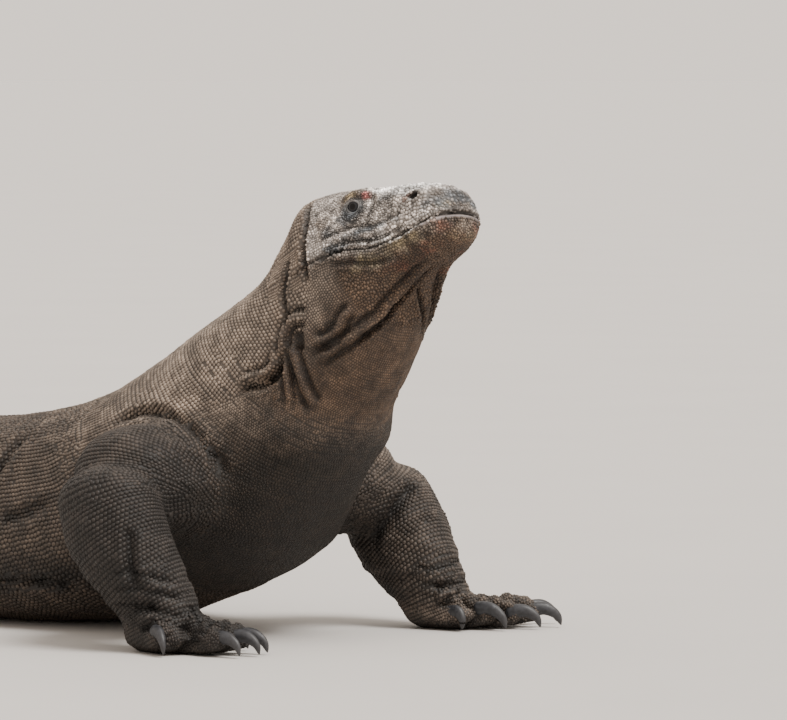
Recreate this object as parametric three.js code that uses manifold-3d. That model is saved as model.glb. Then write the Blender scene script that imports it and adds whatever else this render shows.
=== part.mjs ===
// A life-size komodo dragon, a still model: it lies on its belly with the chest propped on both forelegs and the
// head raised. +X is forwards, +Y is the animal's left and +Z is up; lengths are in millimetres.
// Flesh is lofted from rings. The neck, the trunk and the tail are lengths of one row of rings, and each leg is a
// tube that is cut back where it meets the trunk.
import * as THREE from "three";
import { mergeVertices } from "three/addons/utils/BufferGeometryUtils.js";
import Module from "manifold-3d";

const wasm = await Module();
wasm.setup();

// ---- Driving dimensions ----
const GAP = 0.3; // between neighbouring pieces
const BODY_SIDES = 20; // corners of a ring of the head, neck and trunk
const LIMB_SIDES = 9;
const TAIL_SIDES = 12;
const PALM_SIDES = 10;
const TOE_SIDES = 6;
const CLAW_SIDES = 5;

const SNOUT = 118; // from below the eyes forwards to the tip of the snout
const HEAD_AT = [153, 0, 397]; // point between the jaws, below the eyes
const HEAD_PITCH = 20; // degrees that the snout is raised
const HEAD_ROLL = -6; // degrees; the left side is the lower one
const EYE_RADIUS = 11;
const EYE_AT = [9, 36, 32]; // in the head's own frame: forwards, to the side, up
const NOSTRIL_AT = [83, 34, 19];
const NOSTRIL_SIZE = [7, 6, 4.5];
const MOUTH_GAP = 0.4;

const TAIL_HEIGHT = 136; // where it leaves the hips
const TAIL_WIDTH = 190;

const CLAW_LENGTH = 34;
const CLAW_DEPTH = 18;
const CLAW_WIDTH = 10;
const TOE_WIDTH = 26;
const TOE_HEIGHT = 33;

const COLOURS = { flesh: 0x5d5148, jaw: 0x6a5a45, claw: 0x35343a, eye: 0x2a211b };

// ---- Small tools ----
const radians = (degrees) => (degrees * Math.PI) / 180;
const vector = (xyz) => new THREE.Vector3(...xyz);
const signedPower = (value, power) => Math.sign(value) * Math.abs(value) ** power;

// A smooth curve through (x, y) pairs that never overshoots them.
function smoothThrough(xs, ys) {
  const slopes = xs.slice(1).map((x, i) => (ys[i + 1] - ys[i]) / (x - xs[i]));
  const bends = xs.map((_, i) => {
    const before = slopes[i - 1];
    const after = slopes[i];
    if (before === undefined || after === undefined) return before ?? after;
    return before * after <= 0 ? 0 : (2 * before * after) / (before + after);
  });
  return (x) => {
    const last = xs.length - 2;
    const i = Math.min(Math.max(xs.findLastIndex((value) => value <= x), 0), last);
    const width = xs[i + 1] - xs[i];
    const t = (x - xs[i]) / width;
    const rise = ys[i + 1] - ys[i];
    const square = t * t;
    const cube = square * t;
    return (
      ys[i] + rise * (3 * square - 2 * cube)
      + width * (bends[i] * (cube - 2 * square + t) + bends[i + 1] * (cube - square))
    );
  };
}

// Rows of numbers, one row for each station, as one function of the distance along the stations.
function smoothRows(distances, rows) {
  const columns = rows[0].map((_, k) => smoothThrough(distances, rows.map((row) => row[k])));
  return (distance) => columns.map((column) => column(distance));
}

// A closed skin over rings. A ring has a centre, a side and an up direction, half widths to the side, up and down,
// and a power for its upper and its lower half that squares the outline off.
function loft(rings, sides, grown = 0) {
  const geometry = new THREE.CylinderGeometry(1, 1, 1, sides, rings.length - 1);
  const places = geometry.getAttribute("position");
  for (let i = 0; i < places.count; i++) {
    const row = Math.round((0.5 - places.getY(i)) * (rings.length - 1));
    const angle = Math.atan2(places.getX(i), places.getZ(i));
    const share = Math.min(1, Math.hypot(places.getX(i), places.getZ(i)));
    const ring = rings[row];
    const power = 2 / (Math.sin(angle) > 0 ? ring.squareTop : ring.squareBottom);
    const across = (ring.half + grown) * signedPower(Math.cos(angle), power);
    const reach = (Math.sin(angle) > 0 ? ring.top : ring.bottom) + grown;
    const along = reach * signedPower(Math.sin(angle), power);
    const place = ring.centre.clone().addScaledVector(ring.side, across * share);
    place.addScaledVector(ring.up, along * share);
    places.setXYZ(i, place.x, place.y, place.z);
  }
  return geometry;
}

// A geometry as a solid that can be joined and cut.
function solidOf(geometry) {
  const bare = geometry.clone();
  bare.deleteAttribute("normal");
  bare.deleteAttribute("uv");
  const merged = mergeVertices(bare, 1e-3);
  const mesh = new wasm.Mesh({
    numProp: 3,
    vertProperties: new Float32Array(merged.getAttribute("position").array),
    triVerts: new Uint32Array(merged.index.array),
  });
  const made = new wasm.Manifold(mesh);
  return made.volume() < 0 ? turnedOut(mesh) : made;
}

function turnedOut(mesh) {
  for (let i = 0; i < mesh.triVerts.length; i += 3) {
    const kept = mesh.triVerts[i];
    mesh.triVerts[i] = mesh.triVerts[i + 1];
    mesh.triVerts[i + 1] = kept;
  }
  return new wasm.Manifold(mesh);
}

const largest = (solid) => solid.decompose().sort((a, b) => b.volume() - a.volume())[0];

// A solid's mesh as a three.js geometry.
function geometryOf(solid) {
  const mesh = solid.getMesh();
  const geometry = new THREE.BufferGeometry();
  geometry.setAttribute("position", new THREE.BufferAttribute(mesh.vertProperties, 3));
  geometry.setIndex(new THREE.BufferAttribute(mesh.triVerts, 1));
  geometry.computeVertexNormals();
  return geometry;
}

function ellipsoid(size, at, sides = 16, rows = 10) {
  const geometry = new THREE.SphereGeometry(1, sides, rows);
  geometry.scale(...size);
  geometry.translate(...at);
  return geometry;
}

// ---- Frames ----
const headFrame = new THREE.Matrix4()
  .makeTranslation(...HEAD_AT)
  .multiply(new THREE.Matrix4().makeRotationY(radians(-HEAD_PITCH)))
  .multiply(new THREE.Matrix4().makeRotationX(radians(HEAD_ROLL)));
const onHead = (x, z) => {
  const pitch = radians(HEAD_PITCH);
  return [
    HEAD_AT[0] + x * Math.cos(pitch) - z * Math.sin(pitch),
    HEAD_AT[2] + x * Math.sin(pitch) + z * Math.cos(pitch),
  ];
};

// ---- Head, neck and trunk ----
// Each station: back line (x, z), belly line (x, z), half width, height of the widest place as a share, squareness
// of the upper and of the lower half, roll in degrees.
const HEAD_STATIONS = [
  [...onHead(SNOUT, 0), ...onHead(SNOUT, -11), 7, 0.5, 2, 2, HEAD_ROLL],
  [...onHead(SNOUT - 3, 9), ...onHead(SNOUT - 3, -20), 19, 0.5, 2.2, 2.3, HEAD_ROLL],
  [...onHead(SNOUT - 10, 20), ...onHead(SNOUT - 10, -29), 29, 0.5, 2.3, 2.5, HEAD_ROLL],
  [...onHead(96, 30), ...onHead(97, -35), 36, 0.48, 2.5, 2.7, HEAD_ROLL],
  [...onHead(80, 36), ...onHead(82, -40), 39, 0.46, 2.7, 2.8, HEAD_ROLL],
  [...onHead(58, 42), ...onHead(68, -43), 40, 0.46, 2.8, 2.8, HEAD_ROLL],
  [...onHead(34, 48), ...onHead(54, -50), 43, 0.48, 2.8, 2.7, HEAD_ROLL],
  [...onHead(8, 55), ...onHead(38, -61), 48, 0.5, 2.6, 2.6, HEAD_ROLL],
  [...onHead(-20, 63), ...onHead(23, -75), 54, 0.5, 2.5, 2.5, HEAD_ROLL],
  [...onHead(-46, 68), ...onHead(10, -90), 58, 0.5, 2.6, 2.4, HEAD_ROLL],
];
const BODY_STATIONS = [
  [68, 440, 187, 300, 62, 0.5, 2.8, 2.3, HEAD_ROLL],
  [44, 402, 174, 273, 66, 0.5, 2.8, 2.2, HEAD_ROLL],
  [20, 365, 152, 243, 72, 0.5, 2.7, 2.1, HEAD_ROLL],
  [-24, 338, 131, 217, 80, 0.48, 2.6, 2.1, HEAD_ROLL],
  [-86, 306, 112, 184, 90, 0.46, 2.4, 2.1, HEAD_ROLL],
  [-146, 274, 84, 142, 102, 0.44, 2.2, 2.1, HEAD_ROLL],
  [-205, 246, 40, 88, 113, 0.42, 2.2, 2.2, -5],
  [-262, 228, -60, 42, 122, 0.4, 2.2, 2.2, -3],
  [-330, 214, -190, 6, 138, 0.38, 2.3, 2.3, -1],
  [-410, 205, -340, -3, 156, 0.36, 2.3, 2.6, 0],
  [-510, 200, -490, -3, 166, 0.36, 2.3, 2.6, 0],
  [-620, 190, -620, -3, 160, 0.38, 2.2, 2.5, 0],
  [-720, 175, -725, -3, 138, 0.4, 2.2, 2.4, 0],
  [-800, 156, -800, -3, 112, 0.42, 2.1, 2.2, 0],
  [-870, 138, -870, -3, 95, 0.45, 2, 2, 0],
];

// Distances along the middle of the stations.
function distancesAlong(stations) {
  const middles = stations.map((s) => new THREE.Vector2((s[0] + s[2]) / 2, (s[1] + s[3]) / 2));
  const distances = [0];
  middles.slice(1).forEach((middle, i) => distances.push(distances[i] + middle.distanceTo(middles[i])));
  return distances;
}

function ringAt(row) {
  const [backX, backZ, bellyX, bellyZ, half, widest, squareTop, squareBottom, roll] = row;
  const back = new THREE.Vector3(backX, 0, backZ);
  const belly = new THREE.Vector3(bellyX, 0, bellyZ);
  const up = back.clone().sub(belly);
  const height = up.length();
  up.normalize();
  const forwards = new THREE.Vector3(up.z, 0, -up.x);
  const turn = new THREE.Quaternion().setFromAxisAngle(forwards, radians(roll));
  const middle = belly.clone().lerp(back, 0.5);
  const centre = belly.clone().lerp(back, widest).sub(middle).applyQuaternion(turn).add(middle);
  return {
    centre,
    up: up.clone().applyQuaternion(turn),
    side: new THREE.Vector3(0, 1, 0).applyQuaternion(turn),
    half,
    top: height * (1 - widest),
    bottom: height * widest,
    squareTop,
    squareBottom,
  };
}

const STATIONS = [...HEAD_STATIONS, ...BODY_STATIONS];
const AT = distancesAlong(STATIONS);
const bodyRow = smoothRows(AT, STATIONS);
const HEAD_END = AT[HEAD_STATIONS.length - 1];
const NECK_END = AT[HEAD_STATIONS.length + 3];
const CHEST_END = AT[HEAD_STATIONS.length + 7];
const TRUNK_END = AT[STATIONS.length - 1];

// Rings whose first one is moved along by the gap: a piece that begins where another ends.
function movedOff([first, second, ...others]) {
  const along = first.side.clone().cross(first.up);
  if (along.dot(second.centre.clone().sub(first.centre)) < 0) along.negate();
  return [{ ...first, centre: first.centre.clone().addScaledVector(along, GAP) }, second, ...others];
}
const rowOf = (ringAtPlace, from, to, count) =>
  Array.from({ length: count + 1 }, (_, i) => ringAtPlace(from + ((to - from) * i) / count));
const bodyRing = (place) => ringAt(bodyRow(place));

// ---- Tail: along a curve on the ground, from the hips to the tip ----
const TAIL_PATH = new THREE.CatmullRomCurve3(
  [
    [-870, 0], [-1010, 0], [-1180, 16], [-1360, 70], [-1540, 150], [-1720, 205], [-1900, 208], [-2060, 160],
  ].map(([x, y]) => new THREE.Vector3(x, y, 0)),
);
const TAIL_LENGTH = TAIL_PATH.getLength();
const tailHeight = (share) => TAIL_HEIGHT * (0.62 * (1 - share) ** 0.9 + 0.38 * (1 - share) ** 2) + 8;
const tailWidth = (share) => TAIL_WIDTH * (0.36 * (1 - share) + 0.64 * (1 - share) ** 3.4) + 7;
function tailRing(share) {
  const onGround = TAIL_PATH.getPointAt(share);
  const ahead = TAIL_PATH.getTangentAt(share);
  const height = tailHeight(share);
  return {
    centre: onGround.clone().setZ(height * 0.45 - 3),
    up: new THREE.Vector3(0, 0, 1),
    side: new THREE.Vector3(ahead.y, -ahead.x, 0).normalize(),
    half: tailWidth(share) / 2,
    top: height * 0.55,
    bottom: height * 0.45,
    squareTop: 1.8,
    squareBottom: 2.1,
  };
}

// ---- Legs ----
// A tube through keys of place and two half widths: the wide one lies along the given direction. Its ends are
// rounded over a share of its length. With from and to it is only a length of the tube.
function tubeRings(keys, { towards, count, roundStart = 0, roundEnd = 0, from = 0, to = 1 }) {
  const path = new THREE.CatmullRomCurve3(keys.map((key) => vector(key.at)));
  const sizes = smoothRows(
    keys.map((_, i) => i / (keys.length - 1)),
    keys.map((key) => [key.wide, key.deep]),
  );
  const shares = Array.from({ length: count + 1 }, (_, i) => from + ((to - from) * i) / count);
  if (roundStart) shares.splice(0, 1, roundStart * 0.04, roundStart * 0.35);
  if (roundEnd) shares.splice(-1, 1, 1 - roundEnd * 0.35, 1 - roundEnd * 0.04);
  const fall = (inside, reach) => (inside < reach ? Math.sqrt(1 - (1 - inside / reach) ** 2) : 1);
  return shares.map((share) => {
    const ahead = path.getTangent(share);
    const side = vector(towards).addScaledVector(ahead, -ahead.dot(vector(towards))).normalize();
    const [wide, deep] = sizes(share);
    const fullness = fall(share, roundStart) * fall(1 - share, roundEnd);
    return {
      centre: path.getPoint(share),
      side,
      up: ahead.clone().cross(side).normalize(),
      half: wide * fullness,
      top: deep * fullness,
      bottom: deep * fullness,
      squareTop: 2.1,
      squareBottom: 2.1,
    };
  });
}

// Feet, each in its own frame: the wrist is the origin, x runs along the palm and y to the outer side. A toe has a
// place where it leaves the palm and the place of its claw's tip.
const PALMS = {
  fore: { length: 62, wide: 42, deep: 17 },
  hind: { length: 70, wide: 40, deep: 17 },
};
const HIND_TOES = [
  { base: [30, -24], tip: [92, -62] },
  { base: [46, -14], tip: [132, -38] },
  { base: [52, 0], tip: [152, -4] },
  { base: [48, 14], tip: [160, 38] },
  { base: [16, 24], tip: [88, 84] },
];
const LEGS = [
  {
    name: "foreleg_right",
    outer: -1,
    upper: [
      { at: [-38, -50, 148], wide: 66, deep: 62 },
      { at: [-44, -130, 162], wide: 68, deep: 60 },
      { at: [-38, -202, 150], wide: 56, deep: 50 },
    ],
    lower: [
      { at: [-36, -192, 178], wide: 50, deep: 38 },
      { at: [-25, -203, 140], wide: 60, deep: 45 },
      { at: [1, -200, 92], wide: 53, deep: 42 },
      { at: [30, -187, 46], wide: 43, deep: 36 },
      { at: [44, -184, 16], wide: 41, deep: 27 },
    ],
    foot: { at: [26, -186], turn: 12, palm: PALMS.fore },
    toes: [
      { base: [26, -26], tip: [80, -50] },
      { base: [40, -16], tip: [119, -26] },
      { base: [46, -2], tip: [124, -4] },
      { base: [42, 12], tip: [118, 22] },
      { base: [8, 22], tip: [48, 54] },
    ],
  },
  {
    name: "foreleg_left",
    outer: 1,
    upper: [
      { at: [-44, 50, 148], wide: 60, deep: 62 },
      { at: [-34, 120, 150], wide: 60, deep: 57 },
      { at: [-28, 174, 138], wide: 52, deep: 46 },
    ],
    lower: [
      { at: [-32, 164, 166], wide: 46, deep: 36 },
      { at: [-25, 176, 130], wide: 58, deep: 43 },
      { at: [2, 180, 88], wide: 56, deep: 42 },
      { at: [37, 182, 46], wide: 43, deep: 35 },
      { at: [51, 186, 16], wide: 36, deep: 26 },
    ],
    foot: { at: [40, 188], turn: 30, palm: PALMS.fore },
    toes: [
      { base: [14, -26], tip: [44, -48] },
      { base: [34, -18], tip: [86, -28] },
      { base: [44, -4], tip: [116, -2] },
      { base: [42, 10], tip: [130, 30] },
      { base: [28, 20], tip: [116, 70] },
    ],
  },
  {
    name: "hindleg_right",
    outer: -1,
    upper: [
      { at: [-760, -60, 84], wide: 66, deep: 72 },
      { at: [-720, -140, 92], wide: 62, deep: 68 },
      { at: [-680, -230, 98], wide: 46, deep: 52 },
    ],
    lower: [
      { at: [-668, -226, 116], wide: 40, deep: 36 },
      { at: [-684, -252, 100], wide: 50, deep: 44 },
      { at: [-736, -284, 74], wide: 48, deep: 40 },
      { at: [-786, -316, 42], wide: 38, deep: 34 },
      { at: [-798, -326, 18], wide: 36, deep: 28 },
    ],
    foot: { at: [-792, -330], turn: -42, palm: PALMS.hind },
    toes: HIND_TOES,
  },
  {
    name: "hindleg_left",
    outer: 1,
    upper: [
      { at: [-760, 60, 84], wide: 66, deep: 72 },
      { at: [-736, 144, 90], wide: 62, deep: 68 },
      { at: [-708, 236, 96], wide: 46, deep: 52 },
    ],
    lower: [
      { at: [-696, 232, 114], wide: 40, deep: 36 },
      { at: [-712, 256, 98], wide: 50, deep: 44 },
      { at: [-768, 284, 72], wide: 48, deep: 40 },
      { at: [-822, 308, 42], wide: 38, deep: 34 },
      { at: [-836, 318, 18], wide: 36, deep: 28 },
    ],
    foot: { at: [-832, 322], turn: 48, palm: PALMS.hind },
    toes: HIND_TOES,
  },
];

// ---- Solids ----
const aboveGround = solidOf(new THREE.BoxGeometry(4000, 2000, 1000).translate(-800, 0, 500));

// A thin blade along the mouth line and down behind the jaw, in the head's own frame.
const MOUTH_LINE = [
  [140, -10], [112, -9], [102, -10], [67, -16], [28, -18], [-3, -9], [-28, -7], [-56, -12], [-60, -40], [-52, -140],
];
function mouthBlade() {
  const line = MOUTH_LINE.map(([x, z]) => new THREE.Vector2(x, z));
  const away = line.map((point, i) => {
    const along = (line[i + 1] ?? point).clone().sub(line[i - 1] ?? point).normalize();
    return new THREE.Vector2(-along.y, along.x).multiplyScalar(MOUTH_GAP).add(point);
  });
  const shape = new THREE.Shape([...line, ...away.reverse()]);
  const width = 200;
  const blade = new THREE.ExtrudeGeometry(shape, { depth: width, bevelEnabled: false });
  return solidOf(blade.rotateX(Math.PI / 2).translate(0, width / 2, 0).applyMatrix4(headFrame));
}

// The skull's part first, then the lower jaw.
function headSolids() {
  const onHeadFrame = (geometry) => solidOf(geometry.applyMatrix4(headFrame));
  const [eyeX, eyeY, eyeZ] = EYE_AT;
  const [noseX, noseY, noseZ] = NOSTRIL_AT;
  let head = solidOf(loft(rowOf(bodyRing, 0, HEAD_END, 16), BODY_SIDES));
  for (const side of [-1, 1]) {
    const brow = ellipsoid([26, 9, 8], [eyeX + 2, side * (eyeY - 4), eyeZ + 10], 7, 5);
    const nose = ellipsoid([17, 9, 9], [noseX + 4, side * (noseY - 8), noseZ], 7, 5);
    head = head.add(onHeadFrame(brow)).add(onHeadFrame(nose));
  }
  for (const side of [-1, 1]) {
    const socket = ellipsoid(Array(3).fill(EYE_RADIUS + GAP), [eyeX, side * eyeY, eyeZ], 10, 7);
    const nostril = ellipsoid(NOSTRIL_SIZE, [noseX, side * noseY, noseZ], 7, 4);
    head = head.subtract(onHeadFrame(socket)).subtract(onHeadFrame(nostril));
  }
  const parts = head.subtract(mouthBlade()).decompose();
  return parts.sort((a, b) => b.boundingBox().max[2] - a.boundingBox().max[2]);
}

function eyeGeometry(side) {
  const [eyeX, eyeY, eyeZ] = EYE_AT;
  return ellipsoid(Array(3).fill(EYE_RADIUS), [eyeX, side * eyeY, eyeZ], 10, 7).applyMatrix4(headFrame);
}

// One foot: the palm with its toes, once as it is and once grown by the gap, and its claws.
function footSolids({ foot, toes, outer }) {
  const { at, turn, palm } = foot;
  const place = new THREE.Matrix4()
    .makeTranslation(...at, 0)
    .multiply(new THREE.Matrix4().makeRotationZ(radians(turn)))
    .multiply(new THREE.Matrix4().makeScale(1, outer, 1));
  const put = (xyz) => vector(xyz).applyMatrix4(place).toArray();
  const turned = (xyz) => vector(xyz).transformDirection(place).toArray();
  const palmKeys = [
    { at: put([-34, 0, palm.deep]), wide: palm.wide * 0.7, deep: palm.deep },
    { at: put([0, 0, palm.deep + 2]), wide: palm.wide * 0.86, deep: palm.deep * 1.35 },
    { at: put([palm.length * 0.5, 0, palm.deep]), wide: palm.wide, deep: palm.deep * 1.1 },
    { at: put([palm.length, 0, palm.deep - 2]), wide: palm.wide * 0.8, deep: palm.deep * 0.9 },
  ];
  const palmRings = tubeRings(palmKeys, { towards: turned([0, 1, 0]), count: 4, roundStart: 0.25, roundEnd: 0.25 });
  const tubes = [{ rings: palmRings, sides: PALM_SIDES }];
  const claws = toes.map(({ base, tip }) => {
    const [dx, dy] = [tip[0] - base[0], tip[1] - base[1]];
    const reach = Math.hypot(dx, dy);
    const fleshReach = reach - CLAW_LENGTH;
    const half = TOE_WIDTH / 2;
    const knuckle = TOE_HEIGHT / 2;
    const places = [
      [-14, knuckle],
      [fleshReach * 0.35, knuckle * 0.9],
      [fleshReach * 0.7, knuckle],
      [fleshReach, knuckle],
      [reach - CLAW_LENGTH * 0.45, knuckle * 0.95],
      [reach, 1.5],
    ].map(([along, height]) => put([base[0] + (dx * along) / reach, base[1] + (dy * along) / reach, height]));
    const keysOf = (sizes) => places.map((place, i) => ({ at: place, wide: sizes[i][0], deep: sizes[i][1] }));
    const fleshEnd = [half * 0.75, knuckle * 0.8];
    const toeKeys = keysOf([
      [half * 0.9, knuckle * 0.9],
      [half, knuckle * 0.92],
      [half, knuckle],
      fleshEnd,
      fleshEnd,
      fleshEnd,
    ]);
    const clawEnd = [CLAW_WIDTH / 2, CLAW_DEPTH / 2];
    const clawKeys = keysOf([clawEnd, clawEnd, clawEnd, clawEnd, [CLAW_WIDTH / 2.6, CLAW_DEPTH / 3], [0.8, 1.2]]);
    const towards = turned([-dy, dx, 0]);
    const nail = 3 / (places.length - 1);
    tubes.push({ rings: tubeRings(toeKeys, { towards, count: 4, to: nail }), sides: TOE_SIDES });
    return solidOf(loft(movedOff(tubeRings(clawKeys, { towards, count: 4, from: nail })), CLAW_SIDES));
  });
  const joined = (grown) =>
    tubes.map(({ rings, sides }) => solidOf(loft(rings, sides, grown))).reduce((a, b) => a.add(b));
  return { flesh: joined(0), grownFlesh: joined(GAP), claws };
}

// ---- Assembly ----
const dragon = new THREE.Group();
const materials = {
  flesh: new THREE.MeshStandardMaterial({ color: COLOURS.flesh, roughness: 0.8, metalness: 0 }),
  jaw: new THREE.MeshStandardMaterial({ color: COLOURS.jaw, roughness: 0.8, metalness: 0 }),
  claw: new THREE.MeshStandardMaterial({ color: COLOURS.claw, roughness: 0.45, metalness: 0 }),
  eye: new THREE.MeshStandardMaterial({ color: COLOURS.eye, roughness: 0.1, metalness: 0 }),
};
function add(name, geometry, material) {
  const mesh = new THREE.Mesh(geometry, material);
  mesh.name = name;
  dragon.add(mesh);
}
const addSolid = (name, solid, material) => add(name, geometryOf(solid.intersect(aboveGround)), material);
const addLoft = (name, rings, sides) => addSolid(name, solidOf(loft(rings, sides)), materials.flesh);

function addHead() {
  const [skull, jaw] = headSolids();
  addSolid("head", skull, materials.flesh);
  addSolid("lower_jaw", jaw, materials.jaw);
  add("eye_right", eyeGeometry(-1), materials.eye);
  add("eye_left", eyeGeometry(1), materials.eye);
}

const BODY_PIECES = {
  neck: movedOff(rowOf(bodyRing, HEAD_END, NECK_END, 6)),
  chest: movedOff(rowOf(bodyRing, NECK_END, CHEST_END, 6)),
  trunk: movedOff(rowOf(bodyRing, CHEST_END, TRUNK_END, 8)),
};
function addBody() {
  for (const [name, rings] of Object.entries(BODY_PIECES)) addLoft(name, rings, BODY_SIDES);
}

function addTail() {
  const ends = [0, 0.24, 0.5, 0.76, 1];
  ["tail_base", "tail_middle", "tail_end", "tail_tip"].forEach((name, i) => {
    addLoft(name, movedOff(rowOf(tailRing, ends[i], ends[i + 1], 5)), TAIL_SIDES);
  });
}

function addLegs() {
  const body = Object.values(BODY_PIECES)
    .map((rings) => solidOf(loft(rings, BODY_SIDES, GAP)))
    .reduce((a, b) => a.add(b));
  for (const leg of LEGS) {
    const upper = tubeRings(leg.upper, { towards: [1, 0, 0], count: 5, roundEnd: 0.25 });
    const lower = tubeRings(leg.lower, { towards: [1, 0, 0], count: 6, roundStart: 0.2 });
    const { flesh, grownFlesh, claws } = footSolids(leg);
    const bare = solidOf(loft(upper, LIMB_SIDES)).subtract(body);
    const upperSolid = largest(bare.subtract(solidOf(loft(lower, LIMB_SIDES, GAP))));
    const lowerSolid = largest(solidOf(loft(lower, LIMB_SIDES)).subtract(body).subtract(grownFlesh));
    addSolid(`${leg.name}_upper`, upperSolid, materials.flesh);
    addSolid(`${leg.name}_lower`, lowerSolid, materials.flesh);
    addSolid(`${leg.name}_foot`, flesh.subtract(body), materials.flesh);
    claws.forEach((claw, i) => {
      addSolid(`${leg.name}_claw_${i + 1}`, largest(claw.subtract(grownFlesh)), materials.claw);
    });
  }
}

addHead();
addBody();
addTail();
addLegs();

const bounds = new THREE.Box3().setFromObject(dragon);
const middle = bounds.getCenter(new THREE.Vector3());
dragon.position.set(-middle.x, -middle.y, -bounds.min.z);

export default dragon;
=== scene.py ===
import functools
import math
import random

import bpy
import numpy as np
from bpy.props import FloatProperty, FloatVectorProperty, IntProperty, PointerProperty
from mathutils import Matrix, Vector, noise
from mathutils.bvhtree import BVHTree
from mathutils.kdtree import KDTree


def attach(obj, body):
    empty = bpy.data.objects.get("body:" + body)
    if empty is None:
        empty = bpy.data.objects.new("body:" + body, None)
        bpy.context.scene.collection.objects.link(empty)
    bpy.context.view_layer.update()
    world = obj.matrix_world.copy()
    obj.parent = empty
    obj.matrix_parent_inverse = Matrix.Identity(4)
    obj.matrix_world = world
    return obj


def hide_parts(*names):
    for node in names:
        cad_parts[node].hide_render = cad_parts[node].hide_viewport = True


bl_info = {
    "name": "Komodo Dragon",
    "version": (1, 0, 0),
    "blender": (4, 5, 0),
    "location": "3D View > Sidebar > Komodo Dragon",
    "description": "A life-size komodo dragon: skin, scales, eyes, claws and a studio stage",
    "category": "Mesh",
}

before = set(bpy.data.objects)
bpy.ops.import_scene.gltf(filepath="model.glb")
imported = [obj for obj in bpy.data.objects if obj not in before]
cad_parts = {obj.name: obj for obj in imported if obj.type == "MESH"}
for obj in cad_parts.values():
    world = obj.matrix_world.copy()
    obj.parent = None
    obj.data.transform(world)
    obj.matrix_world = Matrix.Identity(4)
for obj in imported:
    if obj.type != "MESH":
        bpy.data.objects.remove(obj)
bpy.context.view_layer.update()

MM = 0.001
CLAWS = sorted(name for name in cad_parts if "_claw_" in name)
EYES = sorted(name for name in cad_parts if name.startswith("eye_"))
FLESH = sorted(set(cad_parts) - set(CLAWS) - set(EYES))

# The body's own frame starts at the shoulders' middle, on the floor.
# The head's own frame starts between the jaws, below the eyes.
BODY_AT = np.array([896.685, -0.525, 0.0]) * MM
HEAD = (
    Matrix.Translation(Vector(BODY_AT) + Vector((153, 0, 397)) * MM)
    @ Matrix.Rotation(math.radians(-20), 4, "Y")
    @ Matrix.Rotation(math.radians(-6), 4, "X")
)
HEAD_AXES = np.array(HEAD.to_3x3())
HEAD_AT = np.array(HEAD.translation)
EYE_RADIUS = 11 * MM
CORNEA_WIDTH = 4.6 * MM
CORNEA_RISE = 0.35 * MM
EYE_PLACE = (9, 36, 32)
EYE_TURN = 23  # degrees forwards from straight out
EYE_DROP = -0.10
NOSTRIL_PLACE = (86, 30, 16.5)

# Rings of the body from the neck's head end to the tail's root: back x and z, belly x and z.
BODY_RINGS = [
    (86, 445, 193, 316),
    (68, 440, 187, 300),
    (44, 402, 174, 273),
    (20, 365, 152, 243),
    (-24, 338, 131, 217),
    (-86, 306, 112, 184),
    (-146, 274, 84, 142),
    (-205, 246, 40, 88),
    (-262, 228, -60, 42),
    (-330, 214, -190, 6),
    (-410, 205, -340, -3),
    (-510, 200, -490, -3),
    (-620, 190, -620, -3),
    (-720, 175, -725, -3),
    (-800, 156, -800, -3),
    (-870, 138, -870, -3),
]
TAIL_PATH = [
    (-870, 0),
    (-1010, 0),
    (-1180, 16),
    (-1360, 70),
    (-1540, 150),
    (-1720, 205),
    (-1900, 208),
    (-2060, 160),
]

# Middles of the legs' lengths, in the body's own frame.
FORE_RIGHT_LOWER = [
    (-44, -150, 222),
    (-40, -172, 200),
    (-36, -192, 172),
    (-25, -203, 140),
    (1, -200, 92),
    (30, -187, 46),
    (46, -184, 8),
]
FORE_LEFT_LOWER = [
    (-42, 124, 214),
    (-38, 146, 192),
    (-32, 164, 166),
    (-25, 176, 130),
    (2, 180, 88),
    (37, 182, 46),
    (52, 186, 8),
]
HIND_RIGHT_LOWER = [
    (-668, -226, 116),
    (-684, -252, 100),
    (-736, -284, 74),
    (-786, -316, 42),
    (-800, -328, 12),
]
HIND_LEFT_LOWER = [
    (-696, 232, 114),
    (-712, 256, 98),
    (-768, 284, 72),
    (-822, 308, 42),
    (-838, 320, 12),
]
LEG_LINES = {
    "foreleg_right_upper": [(-38, -40, 148), (-44, -130, 162), (-38, -206, 150)],
    "foreleg_right_lower": FORE_RIGHT_LOWER,
    "foreleg_left_upper": [(-44, 40, 148), (-34, 120, 150), (-28, 178, 138)],
    "foreleg_left_lower": FORE_LEFT_LOWER,
    "hindleg_right_upper": [(-764, -50, 84), (-720, -140, 92), (-680, -234, 98)],
    "hindleg_right_lower": HIND_RIGHT_LOWER,
    "hindleg_left_upper": [(-764, 50, 84), (-736, 144, 90), (-708, 240, 96)],
    "hindleg_left_lower": HIND_LEFT_LOWER,
}

# Feet: the wrist's place, the turn, the outer side, and where each toe leaves the palm and its claw ends.
FORE_RIGHT_TOES = [
    ((26, -26), (80, -50)),
    ((40, -16), (119, -26)),
    ((46, -2), (124, -4)),
    ((42, 12), (118, 22)),
    ((8, 22), (48, 54)),
]
FORE_LEFT_TOES = [
    ((14, -26), (44, -48)),
    ((34, -18), (86, -28)),
    ((44, -4), (116, -2)),
    ((42, 10), (130, 30)),
    ((28, 20), (116, 70)),
]
HIND_TOES = [
    ((30, -24), (92, -62)),
    ((46, -14), (132, -38)),
    ((52, 0), (152, -4)),
    ((48, 14), (160, 38)),
    ((16, 24), (88, 84)),
]
FEET = [
    ((26, -186), 12, -1, FORE_RIGHT_TOES),
    ((40, 188), 30, 1, FORE_LEFT_TOES),
    ((-792, -330), -42, -1, HIND_TOES),
    ((-832, 322), 48, 1, HIND_TOES),
]
CLAW_LENGTH = 34

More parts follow.
